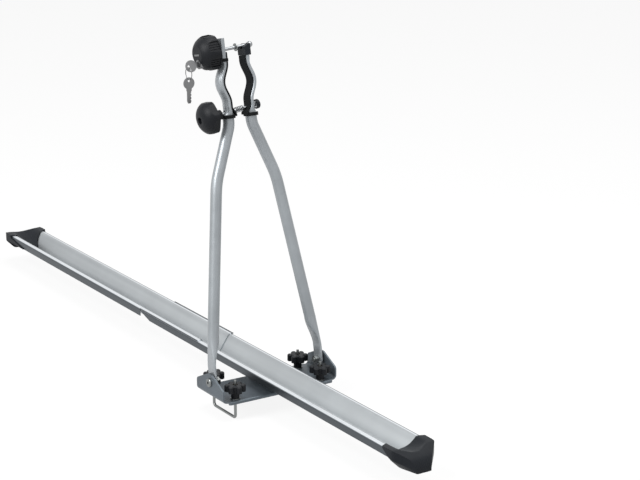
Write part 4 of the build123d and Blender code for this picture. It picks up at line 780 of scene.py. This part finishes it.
def low_band(side):
    """Ring round the tube: a rounded rectangle turned about the tube's middle line."""
    turn = np.linspace(0.0, 2.0 * np.pi, 72, endpoint=False)[:, None]
    thick, tall = rounded_box(BAND_HALF, 3.0, 0.7, BAND_AROUND)
    radius = BAND_RADIUS + BAND_HALF + thick[None, :]
    rings = np.stack([radius * np.cos(turn), TUBE_OUT + radius * np.sin(turn),
                      LOW_BAND_UP + tall[None, :] * np.ones_like(turn)], axis=-1)
    points, faces = tube_of_rings(rings, joined=True)
    return leaned(points, side), faces


def top_band(side):
    """Clip round the thin top of a jaw: a rounded rectangle carried along an open loop."""
    face = float(jaw_face(TOP_BAND_UP))
    left, right = -TOP_BAND_HALF, TOP_BAND_HALF
    inner, outer = face - SOFT_GAP - 1.3, face + JAW_DEEP + SOFT_GAP + BAND_HALF
    corners = np.array([(TOP_BAND_OPEN, outer), (right, outer), (right, inner),
                        (left, inner), (left, outer), (-TOP_BAND_OPEN, outer)])
    steps = np.linalg.norm(np.diff(corners, axis=0), axis=1)
    marks = np.concatenate([[0.0], np.cumsum(steps)])
    walk = np.linspace(0.0, marks[-1], 160)
    line = np.stack([np.interp(walk, marks, corners[:, 0]), np.interp(walk, marks, corners[:, 1])])
    line = softened(line, 3).T
    way = np.gradient(line, axis=0)
    normal = np.stack([-way[:, 1], way[:, 0]], axis=-1) / np.linalg.norm(way, axis=1)[:, None]
    thick, tall = rounded_box(BAND_HALF, 2.75, 0.6, BAND_AROUND)
    flat = line[:, None, :] + normal[:, None, :] * thick[None, :, None]
    up = TOP_BAND_UP + np.broadcast_to(tall, flat.shape[:2])
    points, faces = tube_of_rings(np.stack([flat[..., 0], flat[..., 1], up], axis=-1))
    return leaned(points, side), faces


# %% Both jaws
near_shells = [grip_strip(GRIP_ENDS["near"], -1), low_band(-1), top_band(-1)]
moulded("ribbed_pad_near", near_shells, "near_side", "jaw_pad_near", "pad_rubber", 0.0)
far_shells = [grip_strip(GRIP_ENDS["far"], 1), low_band(1)]
moulded("ribbed_pad_far", far_shells, "far_side", "jaw_pad_far", "pad_rubber", 0.0)


# %% The pad on the roof bar
BAR_PAD_HALF = 75.0
BAR_PAD_CORNER = 4.0
BAR_PAD_WAIST = 34.0
BAR_PAD_TOP = 3.95
BAR_PAD_RIM = 2.0
GROOVE_PITCH = 6.0
GROOVE_DEPTH = 0.7
POCKET_PLACES = (-28.0, 28.0)
POCKET_RADIUS = 6.4
POCKET_DEPTH = 2.8
POCKET_EDGE = 0.8


def bar_pad():
    """Two sheets 4 mm apart with round corners; grooves and two rivet pockets in the lower one."""
    y = np.linspace(-BAR_PAD_HALF, BAR_PAD_HALF, 151)[:, None]
    u = np.linspace(-1.0, 1.0, 229)[None, :]
    corner = np.clip(np.abs(y) - (BAR_PAD_HALF - BAR_PAD_CORNER), 0.0, BAR_PAD_CORNER)
    half = BAR_PAD_WAIST + np.sqrt(np.maximum(BAR_PAD_CORNER ** 2 - corner ** 2, 0.0))
    x = u * half
    groove = GROOVE_DEPTH * smooth_step((np.cos(2.0 * np.pi * x / GROOVE_PITCH) - 0.55) / 0.3)
    from_side, from_end = (half - np.abs(x)) / BAR_PAD_RIM, (BAR_PAD_HALF - np.abs(y)) / BAR_PAD_RIM
    edge = smooth_step(from_side) * smooth_step(from_end)
    pocket = np.zeros_like(x)
    for place in POCKET_PLACES:
        depth = smooth_step((POCKET_RADIUS - np.hypot(x - place, y)) / POCKET_EDGE)
        pocket = np.maximum(pocket, POCKET_DEPTH * depth)
    low = np.maximum(groove * edge, pocket)
    ones = np.ones_like(x)
    return two_sheets(np.stack([x, y * ones, low], axis=-1) * MM,
                      np.stack([x, y * ones, ones * BAR_PAD_TOP], axis=-1) * MM)


moulded("grooved_bar_pad", [bar_pad()], "base", "bar_pad", "pad_rubber", 0.0)

# %% [markdown]
# ## Floor, lamps and camera
#
# The carrier is photographed on white, seen from its front left and a little above. A wide floor
# that looks white to the camera keeps a faint shadow, and large soft lamps light the object at a
# plain level.

# %% Floor
FLOOR_REACH = 40.0
FLOOR_GAP = 0.0005
FLOOR_PAINT = 0.9
SHADOW_SHARE = 0.11
floor_level = cad_box[0][2] - FLOOR_GAP


def floor_material():
    """White floor: part of it is a plain glow for what looks at it, the rest takes shadows."""
    material = bpy.data.materials.new("floor_white")
    material.use_nodes = True
    tree = material.node_tree
    tree.nodes.clear()
    out = tree.nodes.new("ShaderNodeOutputMaterial")
    paint = tree.nodes.new("ShaderNodeBsdfDiffuse")
    paint.inputs["Color"].default_value = (FLOOR_PAINT, FLOOR_PAINT, FLOOR_PAINT, 1.0)
    glow = tree.nodes.new("ShaderNodeEmission")
    glow.inputs["Strength"].default_value = 1.0
    path = tree.nodes.new("ShaderNodeLightPath")
    seen = math_node(tree, "MAXIMUM", path.outputs["Is Camera Ray"], path.outputs["Is Glossy Ray"])
    seen = math_node(tree, "MAXIMUM", seen, path.outputs["Is Transmission Ray"])
    share = math_node(tree, "MULTIPLY", seen, 1.0 - SHADOW_SHARE)
    mix = tree.nodes.new("ShaderNodeMixShader")
    join(tree, share, mix.inputs["Fac"])
    join(tree, paint.outputs["BSDF"], mix.inputs[1])
    join(tree, glow.outputs["Emission"], mix.inputs[2])
    join(tree, mix.outputs["Shader"], out.inputs["Surface"])
    return material


def floor_plane():
    """Flat square of four corners on the floor's level."""
    reach = FLOOR_REACH
    corners = [(-reach, -reach, floor_level), (reach, -reach, floor_level),
               (reach, reach, floor_level), (-reach, reach, floor_level)]
    mesh = bpy.data.meshes.new("floor")
    mesh.from_pydata(corners, [], [(0, 1, 2, 3)])
    floor = bpy.data.objects.new("floor", mesh)
    bpy.context.scene.collection.objects.link(floor)
    mesh.materials.append(floor_material())
    return floor


floor_plane()
print("floor at", floor_level)

# %% World and lamps
WORLD_LIGHT = 0.32
world = bpy.data.worlds.new("studio")
bpy.context.scene.world = world
world.use_nodes = True
sky = world.node_tree
sky.nodes.clear()
sky_out = sky.nodes.new("ShaderNodeOutputWorld")
sky_light = sky.nodes.new("ShaderNodeBackground")
sky_light.inputs["Color"].default_value = (1.0, 1.0, 1.0, 1.0)
sky_path = sky.nodes.new("ShaderNodeLightPath")
sky_seen = math_node(sky, "MAXIMUM", sky_path.outputs["Is Camera Ray"],
                     sky_path.outputs["Is Transmission Ray"])
sky_seen = math_node(sky, "MAXIMUM", sky_seen, sky_path.outputs["Is Glossy Ray"])
sky_power = span(sky, sky_seen, 0.0, 1.0, WORLD_LIGHT, 1.0)
join(sky, sky_power, sky_light.inputs["Strength"])
join(sky, sky_light.outputs["Background"], sky_out.inputs["Surface"])


def placed(holder, place, aim):
    """Put a lamp or camera at a place, turned so that it looks at a point, into the scene."""
    way = np.array(aim, float) - np.array(place, float)
    holder.location = place
    holder.rotation_euler = (
        math.atan2(math.hypot(way[0], way[1]), -way[2]),
        0.0,
        math.atan2(way[1], way[0]) - math.pi / 2,
    )
    bpy.context.scene.collection.objects.link(holder)
    return holder


def lamp(name, place, size, power):
    """Square area lamp at a place, shining at the carrier's middle."""
    light = bpy.data.lights.new(name, "AREA")
    light.size = size
    light.energy = power
    return placed(bpy.data.objects.new(name, light), place, CENTRE)


CENTRE = (0.0, 0.0, 0.25)
lamp("key_lamp", (0.4, -3.0, 2.6), size=2.2, power=150.0)
lamp("top_lamp", (0.6, 0.3, 3.6), size=2.6, power=110.0)
lamp("side_lamp", (3.2, 1.6, 1.6), size=1.6, power=4.0)

# %% Camera
CAMERA_PLACE = (2.6699, -1.6174, 1.1724)
CAMERA_AIM = (0.1698, 0.0, 0.3073)
LENS = 107.0
SENSOR = 36.0
camera_data = bpy.data.cameras.new("camera")
camera_data.lens = LENS
camera_data.sensor_width = SENSOR
camera = placed(bpy.data.objects.new("camera", camera_data), CAMERA_PLACE, CAMERA_AIM)
bpy.context.scene.camera = camera
bpy.context.scene.view_settings.view_transform = "Standard"
print("camera", CAMERA_PLACE, "towards", CAMERA_AIM)
